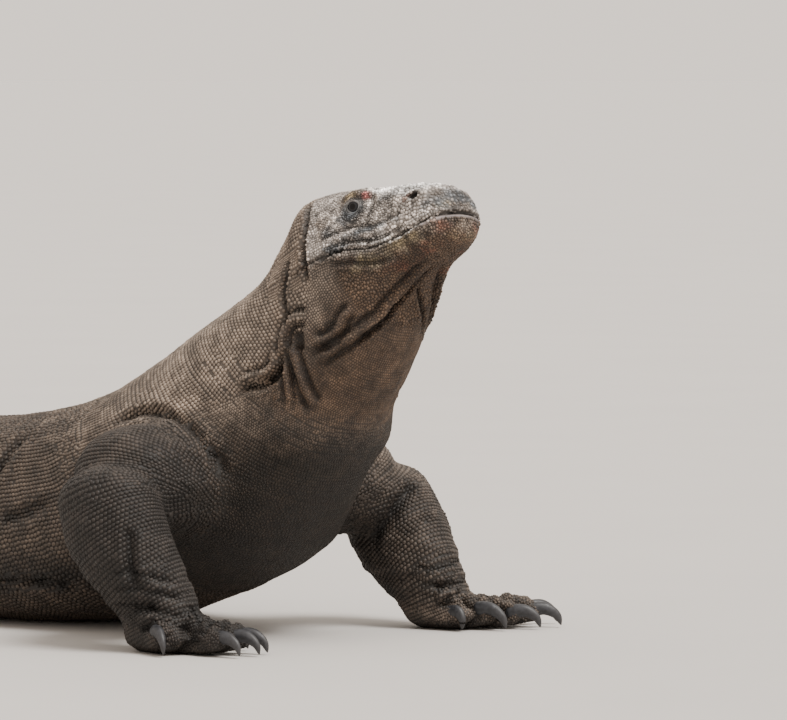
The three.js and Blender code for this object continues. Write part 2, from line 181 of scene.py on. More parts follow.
# The rolls over each toe's knuckles: how far along its flesh, and how high.
KNUCKLES = ((0.25, 1.0), (0.62, 1.2), (0.98, 1.5))
OVER_TOES = 36  # height from which the rolls are laid on the toes
CLEFT_DEPTH = 7.5 * MM

# Folds of the loose hide, as points in millimetres: kind, depth, width and points.
# A crease is a narrow groove with soft banks, and a rope is a raised roll with a groove on each side.
# Each fold here is made on both sides.
FOLDS = [
    ("rope", 2.6, 4.9, [
        (1016, -65, 274), (1021, -65, 282), (1039, -60, 295), (1055, -54, 305),
        (1071, -47, 317), (1083, -38, 327), (1092, -33, 340), (1100, -27, 350),
        (1110, -21, 364), (1119, -16, 374), (1134, -12, 386),
    ]),
    ("crease", 2.6, 2.4, [
        (1057, -50, 300), (1073, -43, 312), (1086, -35, 323), (1096, -28, 337),
        (1104, -21, 348), (1113, -15, 360),
    ]),
    ("rope", 2.7, 4.8, [
        (1017, -67, 304), (1027, -65, 303), (1037, -62, 306), (1047, -60, 316),
        (1054, -59, 328), (1064, -55, 336),
    ]),
    ("rope", 2.9, 5.0, [
        (983, -74, 289), (982, -72, 305), (985, -70, 317), (994, -69, 325), (1012, -67, 327),
    ]),
    ("rope", 2.7, 4.7, [
        (991, -71, 301), (998, -72, 284), (1003, -69, 268), (1007, -65, 253), (1013, -57, 237),
    ]),
    ("rope", 1.8, 3.6, [(986, -75, 282), (989, -74, 269), (990, -73, 254), (991, -71, 238)]),
    ("crease", 3.4, 6.5, [(999, -70, 314), (1002, -70, 303), (1003, -70, 292)]),
    ("crease", 4.2, 3.6, [
        (935, -86, 251), (947, -83, 257), (964, -81, 259), (978, -77, 268), (982, -75, 281),
    ]),
    ("rope", 2.2, 5.0, [
        (935, -86, 259), (947, -83, 265), (962, -81, 268), (973, -77, 277), (974, -75, 292),
    ]),
    ("crease", 3.0, 2.8, [
        (974, -24, 437), (983, -36, 432), (992, -50, 415), (996, -58, 393), (1004, -62, 372),
        (1010, -64, 357),
    ]),
    ("crease", 2.2, 3.0, [
        (976, -56, 386), (975, -60, 367), (975, -64, 347), (983, -69, 325), (984, -72, 309),
    ]),
    ("crease", 1.9, 2.0, [(1050, -55, 391), (1040, -56, 391), (1031, -57, 387), (1020, -60, 380)]),
    ("crease", 3.2, 4.5, [
        (753, -91, 211), (779, -89, 222), (821, -94, 228), (867, -104, 219), (907, -106, 198),
        (924, -95, 171), (930, -91, 159),
    ]),
    ("rope", 2.5, 9.0, [
        (753, -100, 200), (785, -100, 212), (821, -105, 216), (862, -116, 206),
        (897, -120, 186),
    ]),
    ("crease", 3.0, 5.0, [(929, -227, 126), (933, -231, 107), (933, -229, 83), (939, -224, 63)]),
    ("crease", 4.0, 4.4, [
        (600, -139, 46), (633, -136, 47), (664, -130, 49), (695, -123, 50), (729, -110, 47),
    ]),
    ("crease", 2.5, 6.0, [(590, -122, 146), (611, -116, 163), (615, -99, 183), (624, -87, 195)]),
    ("crease", 2.2, 6.0, [(634, -136, 111), (666, -131, 120), (697, -125, 134)]),
    ("rope", 1.5, 4.2, [
        (1023, -31, 442), (1030, -34, 446), (1052, -37, 450), (1065, -34, 451),
        (1072, -30, 449),
    ]),
    ("crease", 1.3, 1.8, [(1065, -45, 420), (1072, -41, 430), (1072, -35, 441), (1066, -32, 448)]),
    ("rope", 1.1, 4.5, [
        (1012, -58, 391), (1036, -54, 402), (1059, -48, 409), (1083, -45, 411),
        (1106, -40, 420), (1125, -39, 427),
    ]),
    ("crease", 1.5, 2.4, [(1036, -55, 396), (1060, -50, 402), (1085, -47, 404), (1106, -42, 412)]),
    ("crease", 1.3, 3.0, [(1035, -59, 378), (1059, -55, 381), (1086, -48, 381), (1112, -39, 389)]),
]
# Folds of one side alone: on the throat, behind the left shoulder and round both wrists.
ONE_SIDE_FOLDS = [
    ("crease", 2.2, 2.2, [(1109, -12, 360), (1100, 1, 342), (1090, 16, 323), (1084, 24, 306)]),
    ("crease", 3.0, 5.0, [(922, 173, 150), (923, 150, 129), (910, 141, 106), (889, 141, 84)]),
    ("crease", 1.6, 2.8, [(912, -240, 78), (935, -236, 80), (960, -214, 76), (966, -196, 72)]),
    ("crease", 1.6, 2.8, [(906, -236, 60), (935, -232, 63), (962, -212, 60), (972, -192, 56)]),
    ("crease", 1.5, 2.6, [(900, -228, 44), (928, -226, 46), (960, -212, 42), (980, -196, 38)]),
    ("crease", 1.5, 2.8, [(946, 142, 66), (962, 156, 64), (966, 180, 66), (958, 208, 70)]),
    ("crease", 1.5, 2.8, [(952, 146, 48), (972, 158, 46), (976, 184, 48), (966, 212, 50)]),
]

# How much deeper than written the folds are pressed, as the coat of scales evens them out again.
FOLD_GAIN = 1.9

# Behind this place, in metres, the skin is laid back on the flesh, as smoothing draws the tail's end in.
TAIL_TIP_FROM = -0.86

# The front edge of the nape's large scales: heights above the floor, and places along the body.
NAPE_EDGE = (
    (180, 215, 240, 251, 259, 268, 281, 310, 330, 372, 415, 440),
    (800, 860, 905, 935, 960, 975, 983, 986, 1008, 1004, 992, 974),
)

# Heights of the mouth's line against the place along it, in the head's own frame.
MOUTH = (
    (-60, -52, -28, -3, 28, 67, 104, 114, 130),
    (-13, -10.5, -7, -8.6, -17.7, -16.2, -9, -7.5, -7.5),
)

# Soft swellings and hollows of the head on both sides: height, place and reach, in the head's own frame.
SWELLINGS = [
    (1.8, (10, 30, 45), (20, 7, 6)),
    (1.3, (48, 26, 33), (26, 6, 6)),
    (-2.0, (46, 38, 16), (17, 10, 8)),
    (-1.6, (-17, 46, 34), (9, 10, 9)),
    (2.2, (-36, 50, 12), (18, 12, 13)),
    (1.6, (84, 28, 17), (10, 9, 8)),
    (1.2, (112, 8, 14), (8, 10, 8)),
    (-1.2, (66, 16, 32), (20, 8, 8)),
    (-1.5, (20, 50, -14), (34, 10, 4)),
    (2.2, (112, 10, -27), (12, 14, 9)),
]

# Soft swellings of the body on both sides: height, place and reach, in millimetres of the whole frame.
BULGES = [(9, (992, 54.95, 206), (36, 34, 26))]

# Rows of plates along the mouth: height above or below its line, size and how far forwards they reach.
LIP_ROWS = (
    (3.0, 3.5, 130),
    (-3.0, 3.3, 86),
    (-6.6, 3.2, 130),
    (6.6, 3.5, 70),
    (10.0, 3.2, 62),
    (-9.8, 3.0, 62),
    (12.9, 2.8, 48),
    (-12.7, 2.8, 50),
    (15.6, 2.6, 42),
    (-15.5, 2.8, 40),
    (18.2, 2.5, 36),
    (20.7, 2.5, 30),
    (23.1, 2.4, -4),
)

# Markings on the head: name, amount, place, reach, in the head's own frame, and whether both sides have it.
BLOTCHES = [
    ("olive", 0.9, (60, 36, -22), (32, 20, 8), True),
    ("olive", 0.7, (22, 46, -27), (26, 16, 9), True),
    ("rust", 1.0, (105, -19, -19), (9, 12, 6), True),
    ("olive", 0.4, (112, 8, -27), (10, 20, 8), True),
    ("rust", 0.55, (84, 27, -36), (14, 16, 8), True),
    ("rust", 0.55, (52, 30, -43), (16, 14, 7), True),
    ("rust", 0.9, (79, 33, 21), (5, 8, 5), True),
    ("olive", 0.9, (108, 20, 2), (14, 14, 5), True),
    ("tan", 0.8, (116, 0, 1), (8, 14, 4), False),
    ("tan", 2.2, (8, 36, 43), (14, 12, 6), True),
    ("tan", 0.7, (-30, 52, 22), (20, 16, 14), True),
    ("tan", 0.9, (118, 0, -22), (10, 12, 9), False),
    ("tan", 0.6, (96, 26, -19), (9, 10, 4), True),
    ("cool", 1.0, (-20, 50, -3), (34, 16, 5), True),
    ("cool", 0.8, (26, 46, 2), (30, 16, 4), True),
    ("cool", 0.9, (98, 22, 4), (18, 14, 9), True),
    ("cool", 1.1, (121, 0, 14), (14, 28, 13), False),
    ("cool", 0.9, (6, 42, 22), (18, 14, 9), True),
    ("cool", 0.7, (58, 30, 30), (14, 12, 6), True),
    ("cool", 0.6, (-22, 48, 16), (22, 16, 8), True),
    ("pink", 1.3, (27, -36, 38), (4.4, 9, 4.0), False),
]


# ---- Sizes and colours that a user may change ----
def size(name, description, metres):
    """A length that a user may change."""
    return FloatProperty(name=name, description=description, default=metres, unit="LENGTH")


def tint(name, description, colour):
    """A colour that a user may change."""
    return FloatVectorProperty(name=name, description=description, default=colour, subtype="COLOR", size=3)


class HideSettings(bpy.types.PropertyGroup):
    """Sizes of the skin under the scales."""

    voxel: size("Skin mesh size", "Edge of the first even mesh", 0.008)
    coat: size("Coat depth", "How far the skin lies inside", 0.0010)
    flabby: size("Looseness", "Height of the slow waves", 0.0011)


class ScaleSettings(bpy.types.PropertyGroup):
    """Sizes of the scales."""

    height: FloatProperty(name="Scale height", description="Height of a scale over its width", default=0.30)
    fill: FloatProperty(name="Scale fill", description="Width of a scale over its room's", default=1.04)
    seed: IntProperty(name="Seed", description="Start of the random numbers", default=7)


class ColourSettings(bpy.types.PropertyGroup):
    """Colours of the hide, eyes and claws."""

    brown: tint("Flank", "Trunk and tail", (0.055, 0.0405, 0.0305))
    grey: tint("Head", "Top and sides of the head", (0.34, 0.305, 0.28))
    tan: tint("Neck", "Nape and sides of the neck", (0.20, 0.157, 0.125))
    # Legs: darker than the body, partly their own colour and partly painted shade.
    slate: tint("Legs", "Legs and feet", (0.0190, 0.0150, 0.0128))
    # Underside is painted shade, for the belly, the chest and faces turned down.
    dark: tint("Underside", "Belly and chest", (0.0125, 0.0086, 0.0058))
    throat: tint("Throat", "Throat and lower jaw", (0.080, 0.051, 0.033))
    olive: tint("Olive", "Side of the lower jaw and brow", (0.175, 0.138, 0.085))
    rust: tint("Rust", "Below the lower lip", (0.135, 0.058, 0.037))
    # Pale: the plates over the mouth, and a painted highlight on the top of the snout.
    pale: tint("Pale", "Top of the snout and the plates over the mouth", (0.80, 0.78, 0.765))
    lip: tint("Lip", "Bare rim of the lower lip", (0.24, 0.205, 0.20))
    cool: tint("Bluish grey", "Band above the mouth and round the eye", (0.125, 0.140, 0.158))
    brow: tint("Brow", "Patch over the eye", (0.58, 0.45, 0.28))
    pink: tint("Pink", "Spot on the brow", (0.70, 0.26, 0.24))
    claw: tint("Claws", "Claws", (0.021, 0.022, 0.026))
    floor: tint("Floor", "Studio floor", (0.508, 0.489, 0.470))


# ---- Small tools ----
BATCH = 3000  # points that are compared with a line at one time


def unit(vectors):
    """Vectors of length one."""
    return vectors / np.maximum(np.linalg.norm(vectors, axis=-1, keepdims=True), 1e-12)


def step(low, high, x):
    """Smooth step from 0 at low to 1 at high."""
    t = np.clip((x - low) / (high - low), 0.0, 1.0)
    return t * t * (3 - 2 * t)


def in_head(points):
    """Places in the head's own frame, in millimetres: forwards, to the left, up."""
    return (points - HEAD_AT) @ HEAD_AXES / MM


def from_head(places):
    """Places in metres of points in the head's own frame, in millimetres."""
    return np.asarray(places, float) * MM @ HEAD_AXES.T + HEAD_AT


def lengths_along(line):
    """How far along a line each of its points lies."""
    return np.concatenate([[0], np.cumsum(np.linalg.norm(np.diff(line, axis=0), axis=1))])


def smooth_line(points, spacing):
    """Even points along a smooth curve through the given ones."""
    p = np.asarray(points, float)
    ends = np.vstack([2 * p[0] - p[1], p, 2 * p[-1] - p[-2]])
    out = []
    for a, b, c, d in zip(ends[:-3], ends[1:-2], ends[2:-1], ends[3:]):
        t = np.linspace(0, 1, 16, endpoint=False)[:, None]
        bend, twist = (2 * a - 5 * b + 4 * c - d) * t**2, (3 * b - a - 3 * c + d) * t**3
        out.append(0.5 * (2 * b + (c - a) * t + bend + twist))
    line = np.vstack(out + [p[-1:]])
    along = lengths_along(line)
    places = np.linspace(0, along[-1], max(int(along[-1] / spacing), 2) + 1)
    return np.stack([np.interp(places, along, line[:, k]) for k in range(p.shape[1])], axis=1)


def select_only(*objects):
    """Selects these objects alone, with the first one active."""
    bpy.ops.object.select_all(action="DESELECT")
    for ob in objects:
        ob.select_set(True)
    bpy.context.view_layer.objects.active = objects[0]


def apply_modifier(ob, kind, **values):
    """Adds a modifier with these values and applies it."""
    select_only(ob)
    modifier = ob.modifiers.new(kind.title(), kind)
    for key, value in values.items():
        setattr(modifier, key, value)
    bpy.ops.object.modifier_apply(modifier=modifier.name)


def numbers(items, name, count, width=1):
    """An attribute of all items as an array."""
    out = np.empty(count * width, np.float32)
    items.foreach_get(name, out)
    return out.reshape(-1, width).astype(float) if width > 1 else out


def points_of(mesh):
    """Places of a mesh's vertices."""
    return numbers(mesh.vertices, "co", len(mesh.vertices), 3)


def normals_of(mesh):
    """Normals at a mesh's vertices."""
    return numbers(mesh.vertex_normals, "vector", len(mesh.vertices), 3)


def edges_of(mesh):
    """Pairs of joined vertices."""
    out = np.empty(len(mesh.edges) * 2, np.int32)
    mesh.edges.foreach_get("vertices", out)
    return out.reshape(-1, 2)


def put_points(mesh, points):
    """Moves a mesh's vertices."""
    mesh.vertices.foreach_set("co", points.astype(np.float32).ravel())
    mesh.update()


def spread(values, edges, rounds):
    """Evens out numbers over a mesh's vertices."""
    a, b = edges.T
    n = len(values)
    share = np.bincount(a, minlength=n) + np.bincount(b, minlength=n) + 1.0
    flat = values.reshape(n, -1)
    for _ in range(rounds):
        flat = np.stack(
            [(c + np.bincount(a, c[b], n) + np.bincount(b, c[a], n)) / share for c in flat.T], axis=1
        )
    return flat.reshape(values.shape)


def ease(points, edges, weight, rounds):
    """Smooths a surface without shrinking it."""
    a, b = edges.T
    n = len(points)
    share = np.maximum(np.bincount(a, minlength=n) + np.bincount(b, minlength=n), 1.0)
    for _ in range(rounds):
        for amount in (0.5, -0.53):
            mean = np.stack(
                [(np.bincount(a, c[b], n) + np.bincount(b, c[a], n)) / share for c in points.T], axis=1
            )
            points = points + weight[:, None] * amount * (mean - points)
    return points


def set_numbers(mesh, name, values):
    """Stores one number or colour at each vertex."""
    if values.ndim == 2:
        layer = mesh.attributes.new(name, "FLOAT_COLOR", "POINT")
        rgba = np.zeros((len(values), 4), np.float32)
        rgba[:, : values.shape[1]] = values
        layer.data.foreach_set("color", rgba.ravel())
    else:
        layer = mesh.attributes.new(name, "FLOAT", "POINT")
        layer.data.foreach_set("value", values.astype(np.float32))


def get_numbers(mesh, name):
    """Reads what set_numbers stored."""
    layer = mesh.attributes[name]
    if layer.data_type == "FLOAT_COLOR":
        return numbers(layer.data, "color", len(layer.data), 4)
    return numbers(layer.data, "value", len(layer.data))


def ball_tree(mesh):
    """A search tree over a mesh's faces."""
    faces = [tuple(p.vertices) for p in mesh.polygons]
    return BVHTree.FromPolygons([v.co for v in mesh.vertices], faces)


def point_tree(points):
    """A search tree over points."""
    tree = KDTree(len(points))
    for number, place in enumerate(points):
        tree.insert(Vector(place), number)
    tree.balance()
    return tree


def nearest_on(tree, points):
    """Nearest places, normals and faces on a surface."""
    found = [tree.find_nearest(Vector(p)) for p in points]
    return (
        np.array([f[0][:] for f in found]),
        np.array([f[1][:] for f in found]),
        np.array([f[2] for f in found]),
    )


def closest_of(targets, points):
    """For each point, the number of the closest target and how far it is."""
    best, gap = np.empty(len(points), int), np.empty(len(points))
    for start in range(0, len(points), BATCH):
        some = slice(start, start + BATCH)
        squares = ((points[some, None] - targets[None]) ** 2).sum(2)
        best[some], gap[some] = squares.argmin(1), np.sqrt(squares.min(1))
    return best, gap


def new_mesh_object(name, points, faces):
    """A new piece at the origin."""
    mesh = bpy.data.meshes.new(name)
    mesh.from_pydata([tuple(p) for p in points], [], faces)
    mesh.update()
    ob = bpy.data.objects.new(name, mesh)
    bpy.context.scene.collection.objects.link(ob)
    return ob


# ---- The CAD flesh ----
OVERLAP = 0.6 * MM  # how far the solids of flesh are swelled, so that neighbours meet


@functools.cache
def flesh_owner_tree():
    """A search tree over all CAD flesh, and the number in FLESH of each of its faces."""
    points, faces, owners = [], [], []
    for number, name in enumerate(FLESH):
        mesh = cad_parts[name].data
        start = len(points)
        points.extend(v.co.copy() for v in mesh.vertices)
        faces.extend(tuple(start + i for i in p.vertices) for p in mesh.polygons)
        owners.extend([number] * len(mesh.polygons))
    return BVHTree.FromPolygons(points, faces), np.array(owners)


def joined_flesh():
    """One closed even mesh round all the flesh and the eyes."""
    bpy.ops.object.select_all(action="DESELECT")
    copies = []
    for name in FLESH + EYES:
        copy = bpy.data.objects.new("komodo_skin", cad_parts[name].data.copy())
        copy.data.materials.clear()
        bpy.context.scene.collection.objects.link(copy)
        copies.append(copy)
    select_only(*copies)
    bpy.ops.object.join()
    skin = copies[0]
    skin.name = "komodo_skin"
    skin.data.name = "komodo_skin"
    bpy.ops.object.mode_set(mode="EDIT")
    bpy.ops.mesh.select_all(action="SELECT")
    bpy.ops.mesh.remove_doubles(threshold=1e-5)
    bpy.ops.object.mode_set(mode="OBJECT")
    apply_modifier(skin, "DISPLACE", strength=OVERLAP, mid_level=0.0)
    settings = bpy.context.scene.komodo_hide
    apply_modifier(skin, "REMESH", mode="VOXEL", voxel_size=settings.voxel, use_smooth_shade=True)
    return skin


def face_middles(mesh):
    """Middles of a mesh's faces."""
    return numbers(mesh.polygons, "center", len(mesh.polygons), 3)


def refine(skin, wanted):
    """Splits the faces whose middles are wanted."""
    mesh = skin.data
    chosen = wanted(face_middles(mesh))
    select_only(skin)
    bpy.ops.object.mode_set(mode="EDIT")
    bpy.ops.mesh.select_mode(type="FACE")
    bpy.ops.mesh.select_all(action="DESELECT")
    bpy.ops.object.mode_set(mode="OBJECT")
    mesh.polygons.foreach_set("select", chosen)
    bpy.ops.object.mode_set(mode="EDIT")
    bpy.ops.mesh.subdivide(number_cuts=1, smoothness=0)
    bpy.ops.object.mode_set(mode="OBJECT")


# ---- Lines on the skin ----
def line_offsets(points, normals, line, line_normals, reach):
    """The points near a line: their numbers, distance, signed side and place along it, 0 to 1."""
    low, high = line.min(0) - reach, line.max(0) + reach
    near = np.flatnonzero(((points > low) & (points < high)).all(1))
    along = unit(np.gradient(line, axis=0))
    best, _ = closest_of(line, points[near])
    off = points[near] - line[best]
    inner = (off * along[best]).sum(1)
    inner = np.where((best == 0) | (best == len(line) - 1), 0, inner)
    off = off - inner[:, None] * along[best]
    distance = np.linalg.norm(off, axis=1)
    side = np.sign((off * np.cross(line_normals[best], along[best])).sum(1))
    place = best / (len(line) - 1.0)
    keep = (distance < reach) & ((normals[near] * line_normals[best]).sum(1) > -0.2)
    return near[keep], distance[keep], (side * distance)[keep], place[keep]


def evened(values):
    """Each column of numbers along a line, evened over five neighbours."""
    return np.stack([np.convolve(np.pad(c, 2, "edge"), np.ones(5) / 5, "valid") for c in values.T], axis=1)


def snapped(tree, line):
    """A line laid on a surface, with the surface's normals."""
    places, normals, _ = nearest_on(tree, line)
    return evened(places), unit(evened(normals))


def bell(distance, width):
    """A soft rise round nought that fades over a width."""
    return np.exp(-((distance / width) ** 2))


def fading_ends(place, share):
    """Fades from 1 to 0 over a share of a line's length at both its ends."""
    return np.minimum(step(0, share, place), step(0, share, 1 - place))


def fold(amounts, hollow_shade, points, normals, tree, spec, mirrored=False):
    """Adds a fold's rises, in metres, and the painted shade of its hollows to the skin's."""
    kind, depth, width, line = spec
    line = np.array(line, float) * MM
    if mirrored:
        line = line * (1, -1, 1) + (0, 2 * BODY_AT[1], 0)
    line, line_normals = snapped(tree, smooth_line(line, 1.5 * MM))
    width, depth = width * MM, depth * FOLD_GAIN * MM
    near, distance, side, place = line_offsets(points, normals, line, line_normals, 4 * width)
    ends = fading_ends(place, 0.16)
    middle = bell(distance, width)
    # dark is painted shade, along a crease's groove and in the grooves on each side of a rope.
    if kind == "crease":
        rise = -depth * middle + 0.3 * depth * bell(distance - 2.1 * width, 1.0 * width)
        dark = middle
    else:
        grooves = bell(side - 1.55 * width, 0.55 * width)
        grooves += bell(side + 1.55 * width, 0.55 * width)
        rise = 0.62 * depth * middle - 0.85 * depth * grooves
        dark = 0.95 * grooves
    amounts[near] += rise * ends
    hollow_shade[near] = np.maximum(hollow_shade[near], dark * ends)


def mouth_line(tree):
    """Points of the mouth's line all round the head, from one corner by the snout to the other."""
    out = []
    for turn in np.radians(np.linspace(-158, 158, 200)):
        z = -10.0
        for _ in range(4):
            start = from_head((30 + 160 * math.cos(turn), 160 * math.sin(turn), z))
            goal = from_head((30, 0, z))
            hit = tree.ray_cast(Vector(start), Vector(goal - start).normalized())
            if hit[0] is None:
                break
            place = in_head(np.array(hit[0]))
            z = 0.5 * z + 0.5 * np.interp(place[0], *MOUTH)
        if hit[0] is not None:
            out.append(np.array(hit[0]))
    return np.array(out)


def eye_frame(side):
    """An eye's middle, the way it looks, and forwards and up across it."""
    centre = from_head((EYE_PLACE[0], side * EYE_PLACE[1], EYE_PLACE[2]))
    turn = math.radians(EYE_TURN)
    looks = unit(HEAD_AXES @ np.array((math.sin(turn), side * math.cos(turn), EYE_DROP)))
    ahead = unit(HEAD_AXES[:, 0] - looks * (HEAD_AXES[:, 0] @ looks))
    upwards = HEAD_AXES[:, 2] - looks * (HEAD_AXES[:, 2] @ looks) - ahead * (HEAD_AXES[:, 2] @ ahead)
    return centre, looks, ahead, unit(upwards)


def across_eye(points, side):
    """Distance from the eye's axis and height along it."""
    centre, looks, _, _ = eye_frame(side)
    off = points - centre
    height = off @ looks
    return np.linalg.norm(off - height[:, None] * looks, axis=1), height


# The lids, in millimetres: half the opening's width, its height above and below the middle, how far the lids'
# skin reaches, where the groove round them lies, the wrinkles' spacing, and the depths of the wrinkles, the
# groove and the fold under the brow.
LID_HALF_WIDTH = 5.4
LID_ABOVE = 4.7
LID_BELOW = 5.7
LID_REACH = 20
LID_GROOVE_AT = 15.6
LID_WRINKLE_SPACING = 1.9
LID_WRINKLE_DEPTH = 0.65
LID_GROOVE_DEPTH = 0.9
LID_HOOD_DEPTH = 0.8
LID_SIDES = 84
LID_RINGS = 30


def opening(angle):
    """Half the width of the opening between the lids, in metres, towards an angle."""
    half_height = np.where(np.sin(angle) > 0, LID_ABOVE, LID_BELOW)
    round_edge = 1 / np.sqrt((np.cos(angle) / LID_HALF_WIDTH) ** 2 + (np.sin(angle) / half_height) ** 2)
    return round_edge * (1 + 0.07 * np.abs(np.cos(angle)) ** 8) * MM


def ball_height(radius, at):
    """Height of a ball over its middle, at a distance from its axis."""
    return np.sqrt(np.maximum(radius**2 - at**2, 0))


def skin_heights(tree, side, angles, radius):
    """Height of the skin along an eye's axis, at each angle and distance from it."""
    centre, looks, ahead, upwards = eye_frame(side)
    heights = np.empty(len(angles))
    for i, angle in enumerate(angles):
        start = centre + looks * 40 * MM
        start = start + ahead * radius[i] * math.cos(angle) + upwards * radius[i] * math.sin(angle)
        hit = tree.ray_cast(Vector(start), Vector(-looks))
        heights[i] = 40 * MM - hit[3] if hit[0] is not None else 0.0
    return heights


def lid_ring(tree, side, angles, edge, radius):
    """Heights of one ring of the lids along the eye's axis, its bare places and the painted shade in its
    hollows.
    """
    uneven = np.array([noise.noise(Vector((1.6 * math.cos(a), 1.6 * math.sin(a), 3.0))) for a in angles])
    gap = radius - edge
    over_ball = ball_height(EYE_RADIUS + 1.3 * MM, radius)
    cover = np.where(radius < EYE_RADIUS + 0.9 * MM, over_ball, -1)
    skin = skin_heights(tree, side, angles, radius) + 0.4 * MM
    shape = np.maximum(skin - 0.9 * MM * step(16.5 * MM, 19.5 * MM, radius), cover)
    lower = 0.35 + 0.65 * step(0.35, -0.35, np.sin(angles))
    waving = step(0.8 * MM, 1.6 * MM, gap) * (1 - step(10 * MM, 13 * MM, gap)) * lower
    wave = np.cos(2 * math.pi * (gap / (LID_WRINKLE_SPACING * MM) + 0.9 * uneven)) * waving
    shape = shape - LID_WRINKLE_DEPTH * MM * wave
    groove = bell(radius - LID_GROOVE_AT * MM, 1.4 * MM)
    shape = shape - LID_GROOVE_DEPTH * MM * groove * lower
    hood = bell(gap - 3.4 * MM, 1.1 * MM) * step(0.1, 0.6, np.sin(angles))
    shape = shape - LID_HOOD_DEPTH * MM * hood
    blend = step(0.0, 1.5 * MM, gap)
    height = ball_height(EYE_RADIUS + 0.85 * MM, radius) * (1 - blend) + shape * blend
    bare = np.where(gap < (1.5 + 2.6 * lower) * MM, 1.0, 0.0)
    # Painted shade at the lids' edge, in the wrinkles' troughs, in the groove round the lids and under the
    # brow's fold.
    edge_shade = 0.55 * (1 - step(0.5 * MM, 1.5 * MM, gap))
    dark = np.clip(edge_shade + 0.4 * waving + 0.8 * wave + 0.7 * groove * lower + 0.9 * hood, 0, 1.1)
    return height, bare, dark


def lids(tree, side):
    """Points, faces, bare places and the painted shade in the hollows of an eye's lids, from inside their
    edge out to the skin.
    """
    centre, looks, ahead, upwards = eye_frame(side)
    angles = np.linspace(0, 2 * math.pi, LID_SIDES, endpoint=False)
    edge = opening(angles)
    rows, bare, hollow_shade = [], [], []

    def ring_at(radius, height, bare_there, dark):
        out, up = (radius * np.cos(angles))[:, None], (radius * np.sin(angles))[:, None]
        rows.append(centre + out * ahead + up * upwards + height[:, None] * looks)
        bare.append(bare_there)
        hollow_shade.append(dark)

    # The edge, turned in against the eyeball: how far past the opening, and how high over the ball. It is
    # painted half dark, as shade.
    for past, over in ((1.4, -1.4), (0.3, -0.2), (-0.15, 0.12), (-0.1, 0.55)):
        radius = edge + past * MM
        height = ball_height(EYE_RADIUS + over * MM, radius)
        ring_at(radius, height, np.ones(LID_SIDES), np.full(LID_SIDES, 0.5))
    for number in range(1, LID_RINGS + 1):
        radius = edge + (LID_REACH * MM - edge) * (number / LID_RINGS) ** 1.25
        ring_at(radius, *lid_ring(tree, side, angles, edge, radius))
    points = np.vstack(rows)
    faces = []
    for j in range(len(rows) - 1):
        for i in range(LID_SIDES):
            k = (i + 1) % LID_SIDES
            face = (j * LID_SIDES + i, j * LID_SIDES + k, (j + 1) * LID_SIDES + k, (j + 1) * LID_SIDES + i)
            faces.append(face if side > 0 else face[::-1])
    a, b, c = (points[i] for i in faces[len(faces) // 2][:3])
    if np.cross(b - a, c - a) @ looks <= 0:
        faces = [face[::-1] for face in faces]
    return points, faces, np.concatenate(bare), np.concatenate(hollow_shade)


# ---- Skin ----
# How fully each part is smoothed, by a word in its name; the other parts are smoothed fully.
SMOOTHING = (("_foot", 0.3), ("head", 0.2), ("jaw", 0.2), ("_lower", 0.9))
WRIST_ROLLS = 2.2 * MM
THROAT_WAVES = 1.3 * MM
SLIT_WIDTH = 1.1 * MM
SLIT_DEPTH = 3.6 * MM
LIP_AT = 3.6 * MM
NOSTRIL_DEPTH = 6.5 * MM
LOWEST_SKIN = 0.5 * MM

# Widths of the tail's scales, in millimetres, at places in metres.
TAIL_SCALES = ((-1.16, -1.05, -0.85, -0.5, 0.0), (1.8, 2.8, 4.0, 5.0, 5.8))


def foot_axes(turn, outer):
    """Forwards and outwards across a foot."""
    cos, sin = math.cos(math.radians(turn)), math.sin(math.radians(turn))
    return np.array(((cos, sin), (-sin * outer, cos * outer)))


def toe_lines():
    """A low roll along the top of each toe and a cross roll over each of its knuckles."""
    out = []
    for (x, y), turn, outer, toes in FEET:
        cos, sin = math.cos(math.radians(turn)), math.sin(math.radians(turn))
        shift = BODY_AT[:2] / MM

        def roll(height, width, line):
            places = [(px, py * outer) for px, py in line]
            out.append(("rope", height, width, [
                (x + px * cos - py * sin + shift[0], y + px * sin + py * cos + shift[1], OVER_TOES)
                for px, py in places
            ]))

        for base, tip in toes:
            way = np.array(tip, float) - base
            reach = np.linalg.norm(way)
            way = way / reach
            flesh = reach - CLAW_LENGTH
            roll(2.3, 6.4, [np.array(base) + way * k for k in np.linspace(-6, flesh, 4)])
            cross = np.array((-way[1], way[0])) * 9
            for share, height in KNUCKLES:
                middle = np.array(base) + way * flesh * share
                roll(height, 5.0, [middle - cross, middle, middle + cross])
    return out


def toe_clefts(points, foot_part):
    """Depth of the clefts between the toes at each point, in metres."""
    depth = np.zeros(len(points))
    for wrist, turn, outer, toes in FEET:
        flat = (points[:, :2] / MM - BODY_AT[:2] / MM - wrist) @ foot_axes(turn, outer).T
        ends = []
        for base, tip in toes:
            base, tip = np.array(base, float), np.array(tip, float)
            ends.append((base, tip + (base - tip) * (CLAW_LENGTH - 4) / np.linalg.norm(tip - base)))
        for (base, end), (next_base, next_end) in zip(ends[:-1], ends[1:]):
            start, stop = (base + next_base) / 2, (end + next_end) / 2
            length = np.linalg.norm(stop - start)
            way = (stop - start) / length
            along = (flat - start) @ way
            aside = (flat - start) @ (-way[1], way[0])
            share = step(0.1 * length, 0.9 * length, along) * (along < length + 22)
            depth = np.maximum(depth, CLEFT_DEPTH * share * bell(aside, 3.2) * foot_part)
    return depth


